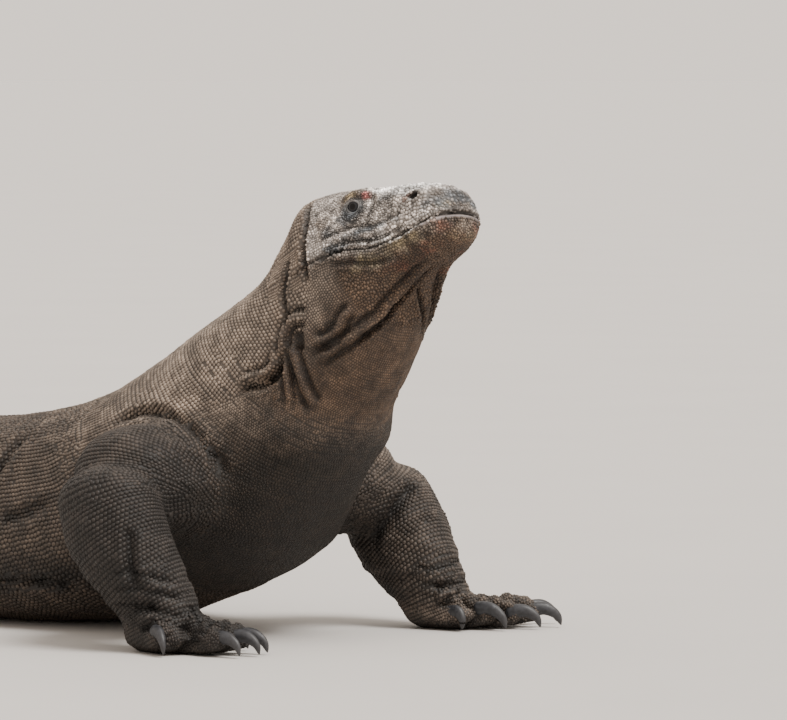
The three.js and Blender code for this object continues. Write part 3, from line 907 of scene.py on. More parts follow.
def toes_drawn_out(points, foot_part):
    """Draws the end of each toe forwards, over the root of its claw."""
    moves = np.zeros_like(points)
    for wrist, turn, outer, toes in FEET:
        axes = foot_axes(turn, outer)
        flat = (points[:, :2] / MM - BODY_AT[:2] / MM - wrist) @ axes.T
        for base, tip in toes:
            way = np.array(tip, float) - base
            reach = np.linalg.norm(way)
            way = way / reach
            off = flat - base
            along = off @ way - (reach - CLAW_LENGTH)
            aside = off @ (-way[1], way[0])
            share = step(-9, 3, along) * np.exp(-((aside / 11) ** 4)) * (along < 16) * foot_part
            moves[:, :2] += (share * 8 * MM)[:, None] * (way @ axes)
    return points + moves


def part_numbers(points):
    """The number in FLESH of the CAD flesh nearest to each point."""
    tree, owners = flesh_owner_tree()
    return owners[nearest_on(tree, points)[2]]


def parts_named(*words):
    """For each name in FLESH, whether it holds one of these words."""
    return np.array([any(word in name for word in words) for name in FLESH])


def on_parts(*words):
    """A test of whether places lie on the parts with these words in their names."""
    return lambda places: parts_named(*words)[part_numbers(places)]


def even_out(skin, rounds, least=0.0):
    """Smooths the skin, less over head, feet and lower legs, but at least by this weight."""
    firm = np.ones(len(FLESH))
    for word, weight in SMOOTHING:
        firm[parts_named(word)] = weight
    points, edges = points_of(skin.data), edges_of(skin.data)
    weight = spread(np.maximum(firm, least)[part_numbers(points)], edges, 3)
    put_points(skin.data, ease(points, edges, weight, rounds))


def beside_neck_folds(middles):
    """Whether faces' middles lie beside the neck's folds."""
    lines = np.vstack([smooth_line(np.array(line, float) * MM, 4 * MM) for _, _, _, line in FOLDS])
    lines = np.vstack([lines, lines * (1, -1, 1) + (0, 2 * BODY_AT[1], 0)])
    lines = lines[(lines[:, 0] > 0.93) & (lines[:, 2] > 0.22)]
    tree = point_tree(lines)
    near = np.array([m[0] > 0.92 and m[2] > 0.22 and tree.find(Vector(m))[2] < 13 * MM for m in middles])
    return near & ~on_parts("head", "jaw")(middles)


def refined_where_needed(skin):
    """Smooths the facets away, and makes the mesh finer at neck, head, feet, folds, mouth and nostrils."""
    even_out(skin, 36)
    points = points_of(skin.data)
    thin = np.flatnonzero(points[:, 0] < TAIL_TIP_FROM)
    points[thin] = nearest_on(flesh_owner_tree()[0], points[thin])[0]
    put_points(skin.data, points)
    refine(skin, on_parts("neck", "head", "jaw", "_foot", "foreleg_right_lower", "foreleg_left_lower"))
    even_out(skin, 18, 0.6)
    refine(skin, on_parts("head", "jaw", "foreleg_right_foot", "foreleg_left_foot"))
    even_out(skin, 14, 0.8)
    refine(skin, beside_neck_folds)
    even_out(skin, 3, 1.0)
    mouth = mouth_line(ball_tree(skin.data))
    ahead, aside, up = NOSTRIL_PLACE
    nostrils = np.array([from_head((ahead, side * aside, up)) for side in (-1, 1)])

    def by_mouth_or_nostril(middles):
        near = np.zeros(len(middles), bool)
        head = np.flatnonzero(np.linalg.norm(middles - HEAD_AT, axis=1) < 0.16)
        by_nostril = closest_of(nostrils, middles[head])[1] < 11 * MM
        near[head] = by_nostril | (closest_of(mouth, middles[head])[1] < 5 * MM)
        return near

    refine(skin, by_mouth_or_nostril)
    even_out(skin, 2)
    points = points_of(skin.data)
    put_points(skin.data, toes_drawn_out(points, on_parts("_foot")(points)))
    return mouth, nostrils


class Places:
    """The skin's points, on the whole and in the head's own frame, and the parts that they are on."""

    def __init__(self, mesh):
        self.points, self.edges, self.normals = points_of(mesh), edges_of(mesh), normals_of(mesh)
        self.part = part_numbers(self.points)
        self.head, self.foot = self.on("head", "jaw"), self.on("_foot")
        self.places = in_head(self.points)

    def on(self, *words):
        """Whether each point lies on the parts with these words in their names."""
        return parts_named(*words)[self.part]


class Hide(Places):
    """The skin's points while they are shaped, with their rises in metres, the painted shade in their
    hollows, and their bare places.
    """

    def __init__(self, mesh):
        super().__init__(mesh)
        self.tree = ball_tree(mesh)
        self.rises, self.hollow_shade, self.bare, self.rim = np.zeros((4, len(self.points)))

    def wave(self, looseness):
        """Adds the slow waves of loose hide, lower on head and feet."""
        slow = [noise.noise(Vector(p) * 17) + 0.45 * noise.noise(Vector(p) * 48) for p in self.points]
        self.rises += np.array(slow) * looseness * np.where(self.head | self.foot, 0.35, 1.0)

    def swell(self, swellings, places, where):
        """Adds soft swellings on both sides."""
        for height, at, reach in swellings:
            for side in (1, -1):
                off = (places - np.array(at) * (1, side, 1)) / np.array(reach)
                self.rises += where * height * MM * np.exp(-((off**2).sum(1)))

    def wrinkle(self):
        """Adds rolls across the wrists and waves down the throat."""
        height = self.points[:, 2]
        wrist = self.on("foreleg_right_lower", "foreleg_left_lower") * step(0.125, 0.08, height)
        rolls = np.array([noise.noise(Vector((p[0] * 14, p[1] * 14, p[2] * 105))) for p in self.points])
        self.rises += wrist * rolls * WRIST_ROLLS
        throat = step(0.15, 0.6, self.normals[:, 0]) * step(0.225, 0.26, height)
        throat *= 1 - step(0.35, 0.38, height)
        throat *= self.on("neck", "chest", "jaw")
        waves = np.array([noise.noise(Vector((p[0], p[1], p[2] * 0.25)) * 120) for p in self.points])
        self.rises += throat * waves * THROAT_WAVES

    def crease(self):
        """Presses in the folds, the toes' rolls and the clefts between the toes, and paints shade in their
        hollows.
        """
        folds = [(spec, mirrored) for spec in FOLDS for mirrored in (False, True)]
        folds += [(spec, False) for spec in ONE_SIDE_FOLDS + toe_lines()]
        for spec, mirrored in folds:
            fold(self.rises, self.hollow_shade, self.points, self.normals, self.tree, spec, mirrored)
        clefts = toe_clefts(self.points, self.foot)
        self.rises -= clefts
        self.hollow_shade = np.maximum(self.hollow_shade, 0.8 * clefts / CLEFT_DEPTH)

    def part_lips(self, mouth):
        """Presses in the mouth's slit, painted dark as shade, with a raised lip above and below it and a bare
        rim in front.
        """
        facing = nearest_on(self.tree, mouth)[1]
        near, distance, _, place = line_offsets(self.points, self.normals, mouth, facing, 9 * MM)
        ahead, _, up = self.places[near].T
        above = np.sign(up - np.interp(ahead, *MOUTH)) * distance
        ends = fading_ends(place, 0.05)
        front = step(20, 90, ahead)
        slit = bell(distance, SLIT_WIDTH)
        rise = -SLIT_DEPTH * slit
        rise += (0.5 + 0.9 * front) * MM * bell(above + LIP_AT, 2.2 * MM)
        rise += (0.8 + 0.7 * front) * MM * bell(above - LIP_AT, 2.4 * MM)
        self.rises[near] += rise * ends
        self.hollow_shade[near] = np.maximum(self.hollow_shade[near], 1.3 * slit * ends)
        rim = np.exp(-(((above + 3.2 * MM) / (2.3 * MM)) ** 4)) * step(84, 102, ahead) * ends
        self.rim[near] = rim
        bare = np.maximum((distance < 1.0 * MM) * ends, (rim > 0.4) * 1.0)
        self.bare[near] = np.maximum(self.bare[near], bare)

    def open_nostril(self, nostril):
        """Presses in a nostril, a pit drawn out forwards with a raised bare edge, and paints shade in the
        pit.
        """
        middle = self.tree.find_nearest(Vector(nostril))[0]
        off = self.points - np.array(middle)
        off = off - (off @ HEAD_AXES[:, 0])[:, None] * HEAD_AXES[:, 0] * 0.32
        gap = np.linalg.norm(off, axis=1)
        self.rises -= NOSTRIL_DEPTH * (1 - step(2.7 * MM, 4.6 * MM, gap))
        self.rises += 1.1 * MM * bell(gap - 5.6 * MM, 1.4 * MM)
        self.hollow_shade = np.maximum(self.hollow_shade, 1.9 * (1 - step(2.7 * MM, 5.0 * MM, gap)))
        self.bare = np.maximum(self.bare, (gap < 4.3 * MM) * 1.0)


def sunk_under_lids(points):
    """The points with those under the lids sunk behind the eyes, and which ones the lids cover."""
    buried = np.zeros(len(points))
    for side in (-1, 1):
        looks = eye_frame(side)[1]
        gap, height = across_eye(points, side)
        front_side = (height > -6 * MM) & (gap < 17 * MM)
        sink = (1 - step(13.0 * MM, 16.8 * MM, gap)) * 25 * MM * front_side
        points = points - looks * sink[:, None]
        buried = np.maximum(buried, (gap < 17.2 * MM) * front_side)
    return points, buried


def shape_skin(skin):
    """Gives the skin its waves, folds, mouth, nostrils and lids, and draws it in by the coat's depth."""
    settings = bpy.context.scene.komodo_hide
    mouth, nostrils = refined_where_needed(skin)
    mesh = skin.data
    hide = Hide(mesh)
    hide.wave(settings.flabby)
    hide.swell(SWELLINGS, hide.places, hide.head)
    hide.wrinkle()
    hide.crease()
    hide.swell(BULGES, hide.points / MM, ~hide.head)
    hide.part_lips(mouth)
    for nostril in nostrils:
        hide.open_nostril(nostril)
    points = ease(hide.points + hide.normals * hide.rises[:, None], hide.edges, 0.7 * hide.foot, 4)
    put_points(mesh, points)
    tree = ball_tree(mesh)
    made = [lids(tree, side) for side in (-1, 1)]
    points, buried = sunk_under_lids(points)
    points = points - normals_of(mesh) * settings.coat * (1 - buried)[:, None]
    points[:, 2] = np.maximum(points[:, 2], LOWEST_SKIN)
    put_points(mesh, points)
    covers = [new_mesh_object(f"lids_{number}", *lid[:2]) for number, lid in enumerate(made)]
    values = [(mesh, np.maximum(hide.bare, buried), hide.hollow_shade, hide.rim)]
    values += [(cover.data, *lid[2:], 0 * lid[2]) for cover, lid in zip(covers, made)]
    for shaped, bare, hollow_shade, rim in values:
        set_numbers(shaped, "hollow_shade", hollow_shade)
        set_numbers(shaped, "bare", bare)
        set_numbers(shaped, "rim", rim)
    select_only(skin, *covers)
    bpy.ops.object.join()
    bpy.ops.object.shade_smooth()


def ahead_of_nape(at):
    """Which points lie in front of the nape's edge, softly, 0 to 1."""
    x, _, z = at.points.T / MM
    return step(-8, 12, x - np.interp(z, *NAPE_EDGE))


def over_mouth(at):
    """Height over the mouth's line, in millimetres."""
    ahead, _, up = at.places.T
    return up - np.interp(ahead, *MOUTH)


def throat_front(at):
    """The front of neck and chest, over the forelegs."""
    return step(0.1, 0.55, at.normals[:, 0]) * at.on("neck", "chest") * step(0.19, 0.25, at.points[:, 2])


def head_grey(at, above):
    """How grey the head and the neck's sides behind the jaws are."""
    ahead, _, up = at.places.T
    back = step(-70, -46, ahead)
    tip = np.exp(-(((ahead - 118) / 17) ** 2) - ((up - 9) / 16) ** 2)
    grey = at.head * back * step(-9, 4, above) * (1 - 0.75 * tip)
    grey = np.maximum(grey, at.head * back * 0.35 * step(-26, -8, above))
    sides = at.on("neck") * ahead_of_nape(at) * step(-9, 4, above) * step(-80, -56, ahead)
    crown = step(0.5, 0.9, at.normals @ HEAD_AXES[:, 2]) * step(5, -45, ahead)
    return np.maximum(grey, 0.9 * sides) * (1 - 0.55 * crown)


def large_marks(at, above):
    """How grey, tan, slate, dark with painted shade and throat-coloured the hide is, one column each."""
    x, _, z = at.points.T
    neck, chest, trunk, leg = (at.on(word) for word in ("neck", "chest", "trunk", "leg_"))
    nape_ahead, front = ahead_of_nape(at), throat_front(at)
    throat = np.maximum(at.head * (1 - step(-14, 0, above)), front)
    throat = np.maximum(throat, 0.55 * neck * nape_ahead * step(0.34, 0.26, z))
    # Painted shade: darker on faces turned down, and low on the chest between the forelegs.
    under = step(-0.15, -0.75, at.normals[:, 2]) * (0.25 * trunk + chest + leg)
    under = np.maximum(under, step(0.27, 0.16, z) * step(0.74, 0.92, x) * chest)
    tan = np.maximum(neck, (chest | trunk) * step(0.48, 0.92, x) * step(0.13, 0.25, z))
    tan = tan * (1 - front) * (1 - 0.35 * nape_ahead)
    tan = np.maximum(tan, at.on("tail") * 0.25)
    # Painted light on the legs: the left foreleg and its foot, and the legs' upward faces, are painted
    # lighter; the hind legs and the right forefoot are paler too. The slate left over is partly painted
    # shade.
    paler_and_painted_light = 0.36 * at.on("foreleg_left", "hindleg") + 0.2 * at.on("foreleg_left_foot")
    paler_and_painted_light += 0.22 * at.on("foreleg_right_foot")
    paler_and_painted_light += 0.35 * leg * step(0.25, 0.85, at.normals[:, 2]) * step(0.12, 0.2, z)
    slate = leg * (1 - paler_and_painted_light)
    grey = head_grey(at, above)
    marks = np.stack([grey, np.maximum(tan, paler_and_painted_light), slate, under, throat], axis=1).astype(float)
    marks[:, 1:] = spread(marks[:, 1:], at.edges, 24)
    # A painted shadow band along the lower flank, over its crease.
    shade = bell(z - 0.062, 0.017) * step(0.45, 0.6, x) * step(0.9, 0.8, x)
    marks[:, 3] = np.maximum(marks[:, 3], trunk * shade)
    marks[:, 0] = spread(marks[:, 0], at.edges, 8)
    return spread(marks, at.edges, 6)


def blotches(at):
    """How strong each kind of blotch is on the head, by its name."""
    blots = {name: 0 for name, *_ in BLOTCHES}
    for name, amount, middle, reach, both in BLOTCHES:
        for side in (1, -1) if both else (1,):
            off = (at.places - np.array(middle) * (1, side, 1)) / np.array(reach)
            blots[name] = np.maximum(blots[name], amount * np.exp(-((off**2).sum(1))))
    return blots


def pale_and_highlight_marks(at, above):
    """How pale the head is: pale plates over the mouth, and a painted highlight on the upward-facing top of
    the snout.
    """
    ahead = at.places[:, 0]
    cheek = bell(above - 9, 4.5) * step(-44, -14, ahead) * (1 - step(40, 70, ahead))
    # Painted highlight on the snout's upward faces.
    top = step(0.35, 0.8, at.normals @ HEAD_AXES[:, 2]) * step(8, 58, ahead)
    top *= 1 - 0.8 * step(84, 104, ahead)
    return spread(at.head * np.maximum(0.42 * cheek, 1.3 * top), at.edges, 6)


def lid_mark(at):
    """The points round the eyes, softly, 0 to 1."""
    lid = np.zeros(len(at.points))
    for side in (-1, 1):
        gap, height = across_eye(at.points, side)
        lid = np.maximum(lid, (1 - step(11 * MM, 15 * MM, gap)) * (height > 0))
    return lid


def scale_widths(at, above):
    """Width of the scales, in millimetres, and where the large ones of nape and body are, 0 to 1."""
    x, _, z = at.points.T
    ahead = at.places[:, 0]
    neck, chest, jaw = at.on("neck"), at.on("chest"), at.on("jaw")
    grain = np.full(len(x), 5.6)
    grain = np.where(at.on("trunk"), 5.2 + 0.6 * step(0.62, 0.3, x), grain)
    grain = np.where(chest, 4.8, grain)
    grain = np.where(neck, 4.7, grain)
    fine = (neck | chest) * ahead_of_nape(at)
    grain = grain - (grain - 3.1) * fine
    grain = grain - 0.6 * throat_front(at) * fine
    grain = np.where(at.on("tail"), np.interp(x, *TAIL_SCALES), grain)
    grain = np.where(at.on("leg_"), 4.3 + 0.5 * step(0.04, 0.12, z), grain)
    grain = np.where(at.foot, 2.8, grain)
    skull = 2.35 + 1.5 * step(40, 80, ahead) + 0.5 * step(-50, -64, ahead)
    skull = np.where(jaw, 2.7 + 0.3 * step(60, 20, ahead), skull)
    skull = np.where(at.on("head") & (above < 9) & (above > 0), 2.9, skull)
    grain = np.where(at.head, skull, grain)
    for side in (-1, 1):
        gap, height = across_eye(at.points, side)
        grain = np.where((gap < 19 * MM) & (height > 0), 1.5 + 0.9 * step(10 * MM, 19 * MM, gap), grain)
    return spread(grain, at.edges, 4), 1.0 - fine


def mark_skin(skin):
    """Stores the markings and the scales' widths at the skin's vertices."""
    mesh = skin.data
    at = Places(mesh)
    above = over_mouth(at)
    marks, blots = large_marks(at, above), blotches(at)
    pale = pale_and_highlight_marks(at, above)
    grain, shield = scale_widths(at, above)
    bare = np.clip(get_numbers(mesh, "bare"), 0, 1)
    for name, values in (
        ("marks_a", marks[:, :3]),
        # marks_b holds the painted underside shade, the throat and the olive.
        ("marks_b", np.stack([marks[:, 3], marks[:, 4], at.head * blots["olive"]], axis=1)),
        # marks_c holds the rust, the pale plates with the painted highlight on the snout, and the pink.
        ("marks_c", np.stack([at.head * blots["rust"], pale, blots["pink"]], axis=1)),
        ("warm", at.head * blots["tan"]),
        ("cool", at.head * blots["cool"]),
        ("lid", lid_mark(at) * (1 - np.clip(blots["tan"], 0, 1))),
        ("shield", shield),
        ("grain", grain),
        # Painted shade: the skin between the scales reads as a scale's dark foot, its bare places less dark.
        ("rise", 0.06 + 0.7 * bare),
        ("tone", np.full(len(bare), 0.5)),
    ):
        set_numbers(mesh, name, values)


class KOMODO_OT_skin(bpy.types.Operator):
    """Make the skin with its folds, lips, lids and nostrils"""

    bl_idname = "komodo.skin"
    bl_label = "Skin"

    def execute(self, context):
        skin = joined_flesh()
        shape_skin(skin)
        mark_skin(skin)
        skin.data.materials.clear()
        skin.data.materials.append(hide_material("dragon_skin", 0.25))
        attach(skin, "root")
        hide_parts(*FLESH)
        return {"FINISHED"}


# ---- Scales ----
TAIL_HEIGHT = 136
TAIL_TIP_HEIGHT = 8

# A scale is a low dome of six sides, with points round its foot and its shoulder, and one on top.
SIDES = 6
FOOT_SHOULDER_TOP = (SIDES, SIDES, 1)
DOME_POINTS = sum(FOOT_SHOULDER_TOP)
DOME_LIFT = np.repeat((0.0, 0.74, 1.0), FOOT_SHOULDER_TOP)
DOME_LEAN = np.repeat((0.0, -0.08, -0.12), FOOT_SHOULDER_TOP)
# Painted shade on each scale: dark at its foot, lighter at its shoulder, full at its top; stored as rise.
DOME_PAINTED_SHADE = np.repeat((0.15, 0.85, 1.0), FOOT_SHOULDER_TOP)
DOME_SUNK = np.repeat((1.0, 0.0, 0.0), FOOT_SHOULDER_TOP)
DOME_QUADS = [(i, (i + 1) % SIDES, SIDES + (i + 1) % SIDES, SIDES + i) for i in range(SIDES)]
DOME_TOPS = [(SIDES + i, SIDES + (i + 1) % SIDES, 2 * SIDES) for i in range(SIDES)]
MOST_IN_A_PIECE = 10800

# How close to its neighbours a scale may lie, over their mean width.
IN_ROWS, IN_LIPS, ON_HEAD_AND_FEET, ELSEWHERE = 0.74, 0.8, 0.86, 0.84


def body_rows():
    """Rings across neck, chest and trunk: middles, side and down directions, and the way along."""
    rings = smooth_line(np.array(BODY_RINGS, float), 0.7) * MM
    back = np.stack([rings[:, 0], 0 * rings[:, 0], rings[:, 1]], axis=1) + BODY_AT
    belly = np.stack([rings[:, 2], 0 * rings[:, 0], rings[:, 3]], axis=1) + BODY_AT
    middle = (back + belly) / 2
    middle[:, 2] = np.maximum(middle[:, 2], 0.02)
    down = unit(belly - back)
    side = np.tile((0.0, -1.0, 0.0), (len(middle), 1))
    moved = np.maximum(
        np.linalg.norm(np.diff(back, axis=0), axis=1), np.linalg.norm(np.diff(belly, axis=0), axis=1)
    )
    return middle, side, -down, np.concatenate([[0], np.cumsum(moved)])


def tail_rows():
    """Rings across the tail."""
    path = smooth_line(np.array(TAIL_PATH, float), 1.0)
    length = len(path) - 1.0
    s = np.arange(len(path)) / length
    height = TAIL_HEIGHT * (0.62 * (1 - s) ** 0.9 + 0.38 * (1 - s) ** 2) + TAIL_TIP_HEIGHT
    middle = np.stack([path[:, 0], path[:, 1], 0.42 * height], axis=1) * MM + BODY_AT
    way = unit(np.gradient(middle, axis=0))
    side = unit(np.cross(way, (0.0, 0.0, 1.0)))
    up = unit(np.cross(side, way))
    return middle, side, up, lengths_along(middle)


def leg_rows(name):
    """Rings across one length of a leg."""
    middle = smooth_line(np.array(LEG_LINES[name], float), 0.7) * MM + BODY_AT
    way = unit(np.gradient(middle, axis=0))
    helper = (0.0, 0.0, 1.0) if "_upper" in name else (0.0, -1.0 if "right" in name else 1.0, 0.0)
    side = unit(np.cross(way, helper))
    up = unit(np.cross(side, way))
    return middle, side, up, lengths_along(middle)


class Coat:
    """The scales laid so far, with a grid of cells for finding neighbours."""

    CELL = 9 * MM

    def __init__(self, mesh):
        self.tree = ball_tree(mesh)
        self.face_part = part_numbers(face_middles(mesh))
        self.corner = np.array([p.vertices[0] for p in mesh.polygons])
        self.normals = normals_of(mesh)
        self.grain = get_numbers(mesh, "grain") * MM
        self.bare = get_numbers(mesh, "bare")
        self.shield = get_numbers(mesh, "shield")[self.corner] > 0.5
        self.cells = {}
        self.rows = []
        near = (-1, 0, 1)
        self.offsets = [(a << 42) + (b << 21) + c for a in near for b in near for c in near]

    def key(self, x, y, z):
        """The number of a point's cell."""
        cell = self.CELL
        return (int(x / cell + 1000) << 42) + (int(y / cell + 1000) << 21) + int(z / cell + 1000)

    def free(self, x, y, z, size, share):
        """Whether a scale of this size has room here."""
        key, cells = self.key(x, y, z), self.cells
        for offset in self.offsets:
            for px, py, pz, other in cells.get(key + offset, ()):
                reach = share * 0.5 * (size + other)
                if (px - x) ** 2 + (py - y) ** 2 + (pz - z) ** 2 < reach * reach:
                    return False
        return True

    def add(self, place, face, way, length, width, share):
        """Lays one scale unless another is in the way."""
        x, y, z = place
        if self.bare[self.corner[face]] > 0.5 or z < 0.0004:
            return
        size = min(length, width)
        if not self.free(x, y, z, size, share):
            return
        self.cells.setdefault(self.key(x, y, z), []).append((x, y, z, size))
        self.rows.append((x, y, z, face, way[0], way[1], way[2], length, width))

    def outline(self, centre, up, side):
        """Points half-way round the body from its top, with the scales' width at each."""
        outline, widths, last = [], [], None
        for angle in np.linspace(0, math.pi, 40):
            ray = up * math.cos(angle) + side * math.sin(angle)
            hit = self.tree.ray_cast(Vector(centre), Vector(ray), 0.4)
            if hit[0] is None:
                continue
            if last is not None and (hit[0] - last).length > 0.05:
                break
            last = hit[0]
            outline.append(hit[0][:])
            widths.append(self.grain[self.corner[hit[2]]])
        return np.array(outline), np.array(widths)

    def rings(self, frames, words, pitch, stagger=0.5, wanted=True):
        """Lays rows of scales across a length of the body, on the wanted faces."""
        middle, side, up, along = frames
        allowed = parts_named(*words)[self.face_part] & wanted
        way = unit(np.gradient(middle, axis=0))
        at, number, length = along[0] + 0.3 * pitch, 0, pitch
        while at < along[-1]:
            k = int(np.searchsorted(along, at))
            sizes = []
            for turn in (1, -1):
                outline, widths = self.outline(middle[k], up[k], side[k] * turn)
                if len(outline) < 3:
                    continue
                sizes.append(widths.mean())
                gaps = np.linalg.norm(np.diff(outline, axis=0), axis=1)
                counts = np.concatenate([[0], np.cumsum(gaps / (0.5 * (widths[1:] + widths[:-1])))])
                first = stagger * (number % 2) if turn > 0 else 1 - stagger * (number % 2)
                for count in np.arange(first, counts[-1], 1.0):
                    shifted = count + random.uniform(-0.05, 0.05)
                    guess = Vector([np.interp(shifted, counts, outline[:, i]) for i in range(3)])
                    place, _, face, _ = self.tree.find_nearest(guess)
                    if not allowed[face]:
                        continue
                    width = self.grain[self.corner[face]]
                    self.add(place, face, way[k], length * random.uniform(0.96, 1.06), width, IN_ROWS)
            number += 1
            length = min(pitch, 1.3 * float(np.mean(sizes))) if sizes else pitch
            at += length

    def lip_rows(self):
        """Lays rows of larger plates along both lips."""
        line = mouth_line(self.tree)
        for offset, size, front in LIP_ROWS:
            raised = line + HEAD_AXES[:, 2] * offset * MM
            path = smooth_line(raised[::4], size * MM)
            for i, guess in enumerate(path):
                if in_head(guess[None])[0, 0] > front + random.uniform(-6, 6):
                    continue
                place, _, face, _ = self.tree.find_nearest(Vector(guess))
                way = path[min(i + 1, len(path) - 1)] - path[max(i - 1, 0)]
                self.add(place, face, unit(way), size * 1.04 * MM, size * 1.02 * MM, IN_LIPS)

    def fill(self, mesh, tries, part=1.0):
        """Fills what is still free with scattered scales, a part of the usual size."""
        rng = np.random.default_rng(bpy.context.scene.komodo_scales.seed + int(tries))
        corners = [tuple(p.vertices) for p in mesh.polygons]
        points = points_of(mesh)
        quads = np.array([c[:4] if len(c) >= 4 else c + (c[0],) for c in corners])
        areas = numbers(mesh.polygons, "area", len(mesh.polygons))
        size = self.grain[quads[:, 0]]
        weight = areas / size**2 * (self.bare[quads[:, 0]] < 0.5)
        chance = np.cumsum(weight)
        picks = np.searchsorted(chance, rng.uniform(0, chance[-1], int(chance[-1] * tries)))
        a, b = rng.uniform(size=(2, len(picks), 1))
        p = points[quads[picks]]
        spots = (p[:, 0] * (1 - a) + p[:, 1] * a) * (1 - b) + (p[:, 3] * (1 - a) + p[:, 2] * a) * b
        head = parts_named("head", "jaw")[self.face_part]
        foot = parts_named("_foot")[self.face_part]
        for spot, face in zip(spots.tolist(), picks.tolist()):
            width = part * self.grain[self.corner[face]]
            way = HEAD_AXES[:, 0] if head[face] else (1.0, 0.0, 0.0)
            share = ON_HEAD_AND_FEET if head[face] or foot[face] else ELSEWHERE
            self.add(spot, face, way, width, width, share)


def fitted_to_neighbours(rows):
    """Makes each scale as long and as wide as the room between the ones round it."""
    tree = point_tree(rows[:, :3])
    near = np.array([[found[1] for found in tree.find_n(Vector(place), 8)[1:]] for place in rows[:, :3]])
    off = rows[near, :3] - rows[:, None, :3]
    gap = np.linalg.norm(off, axis=2)
    along = np.abs((off * rows[:, None, 4:7]).sum(2))
    aside = np.sqrt(np.maximum(gap**2 - along**2, 0))
    share = along / np.maximum(gap, 1e-9)
    mean = rows[:, 7:9].mean(1)
    for column, wanted, room, most in ((7, share > 0.75, along, 1.75), (8, share < 0.55, aside, 1.45)):
        room = np.sort(np.where(wanted & (gap < 2.2 * mean[:, None]), room, np.nan), axis=1)[:, :2]
        found = ~np.isnan(room[:, 0])
        room[:, 1] = np.where(np.isnan(room[:, 1]), room[:, 0], room[:, 1])
        fit = np.where(found, room.mean(1), rows[:, column])
        rows[:, column] *= np.clip(fit / rows[:, column], 0.85, most)
    return rows


def coat_group(part):
    """Name of the coat piece that a part's scales belong to."""
    if part in ("head", "lower_jaw"):
        return "scales_head"
    if part.startswith("tail"):
        return "scales_tail"
    if "leg_" in part:
        return "scales_" + "_".join(part.split("_")[:2])
    return "scales_" + part


def unwrapped(group, points):
    """Places on a cylinder-like unwrap of the skin's own shape: along it and round it."""
    if group == "scales_head":
        x, y, z = in_head(points).T
        return np.stack([(x + 75) / 205, np.arctan2(y, z + 5) / (2 * math.pi) + 0.5], axis=1)
    if "leg" in group:
        leg = group[len("scales_") :]
        frames = [leg_rows(leg + "_upper"), leg_rows(leg + "_lower")]
    elif group == "scales_tail":
        frames = [tail_rows()]
    else:
        frames = [body_rows()]
    middle, side, up = (np.concatenate([f[i] for f in frames])[::6] for i in range(3))
    best, _ = closest_of(middle, points)
    off = points - middle[best]
    angle = np.arctan2((off * side[best]).sum(1), (off * up[best]).sum(1))
    way = unit(np.gradient(middle, axis=0))
    inner = (off * way[best]).sum(1) / 0.06
    return np.stack([(best + np.clip(inner, -2, 2)) / len(middle), angle / (2 * math.pi) + 0.5], axis=1)


def dome_places(name, coat, rows, rng):
    """Places of each scale's points, one row of points a scale, and their flat shape."""
    face = rows[:, 3].astype(int)
    normal = unit(coat.normals[coat.corner[face]])
    way = rows[:, 4:7]
    way = unit(way - normal * (way * normal).sum(1)[:, None])
    across = np.cross(normal, way)
    settings = bpy.context.scene.komodo_scales
    count = len(rows)
    half = rows[:, 7:9] * 0.5 * settings.fill * rng.uniform(0.95, 1.05, (count, 2))
    tall = settings.height * rows[:, 8] * rng.uniform(0.85, 1.15, count)
    crown = 0.66 if "neck" in name else 0.83
    tall = tall * (1.1 if "head" in name or "neck" in name else 0.85) * (0.55 + 0.45 * coat.shield[face])
    if "leg" in name:
        half[:, 1] *= 1.12
    turn = np.arange(SIDES) * math.pi / 3
    foot = np.stack([np.cos(turn), np.sin(turn)], 1)
    flat = np.concatenate([foot, crown * foot, [[0, 0]]])
    wobble = rng.uniform(0.92, 1.08, (count, DOME_POINTS))
    local_x = (flat[None, :, 0] * wobble + DOME_LEAN[None]) * half[:, :1]
    local_y = flat[None, :, 1] * wobble * half[:, 1:]
    local_z = DOME_LIFT[None] * tall[:, None] - DOME_SUNK[None] * (0.2 * MM + 0.2 * tall[:, None])
    points = (
        rows[:, None, :3]
        + way[:, None] * local_x[:, :, None]
        + across[:, None] * local_y[:, :, None]
        + normal[:, None] * local_z[:, :, None]
    )
    points[:, :, 2] = np.maximum(points[:, :, 2], 0.0)
    return points, flat


def mesh_of_domes(name, points):
    """One mesh of all the scales' domes, and the numbers of the points at its faces' corners."""
    count = len(points)
    corners = np.concatenate([np.ravel(DOME_QUADS), np.ravel(DOME_TOPS)])
    loops = (np.arange(count)[:, None] * DOME_POINTS + corners[None]).ravel().astype(np.int32)
    sizes = np.tile([4] * SIDES + [3] * SIDES, count)
    mesh = bpy.data.meshes.new(name)
    mesh.vertices.add(count * DOME_POINTS)
    mesh.vertices.foreach_set("co", points.astype(np.float32).ravel())
    mesh.loops.add(len(loops))
    mesh.loops.foreach_set("vertex_index", loops)
    mesh.polygons.add(len(sizes))
    mesh.polygons.foreach_set("loop_start", np.concatenate([[0], np.cumsum(sizes)[:-1]]).astype(np.int32))
    mesh.polygons.foreach_set("use_smooth", np.ones(len(sizes), bool))
    mesh.update()
    mesh.validate()
    return mesh, loops


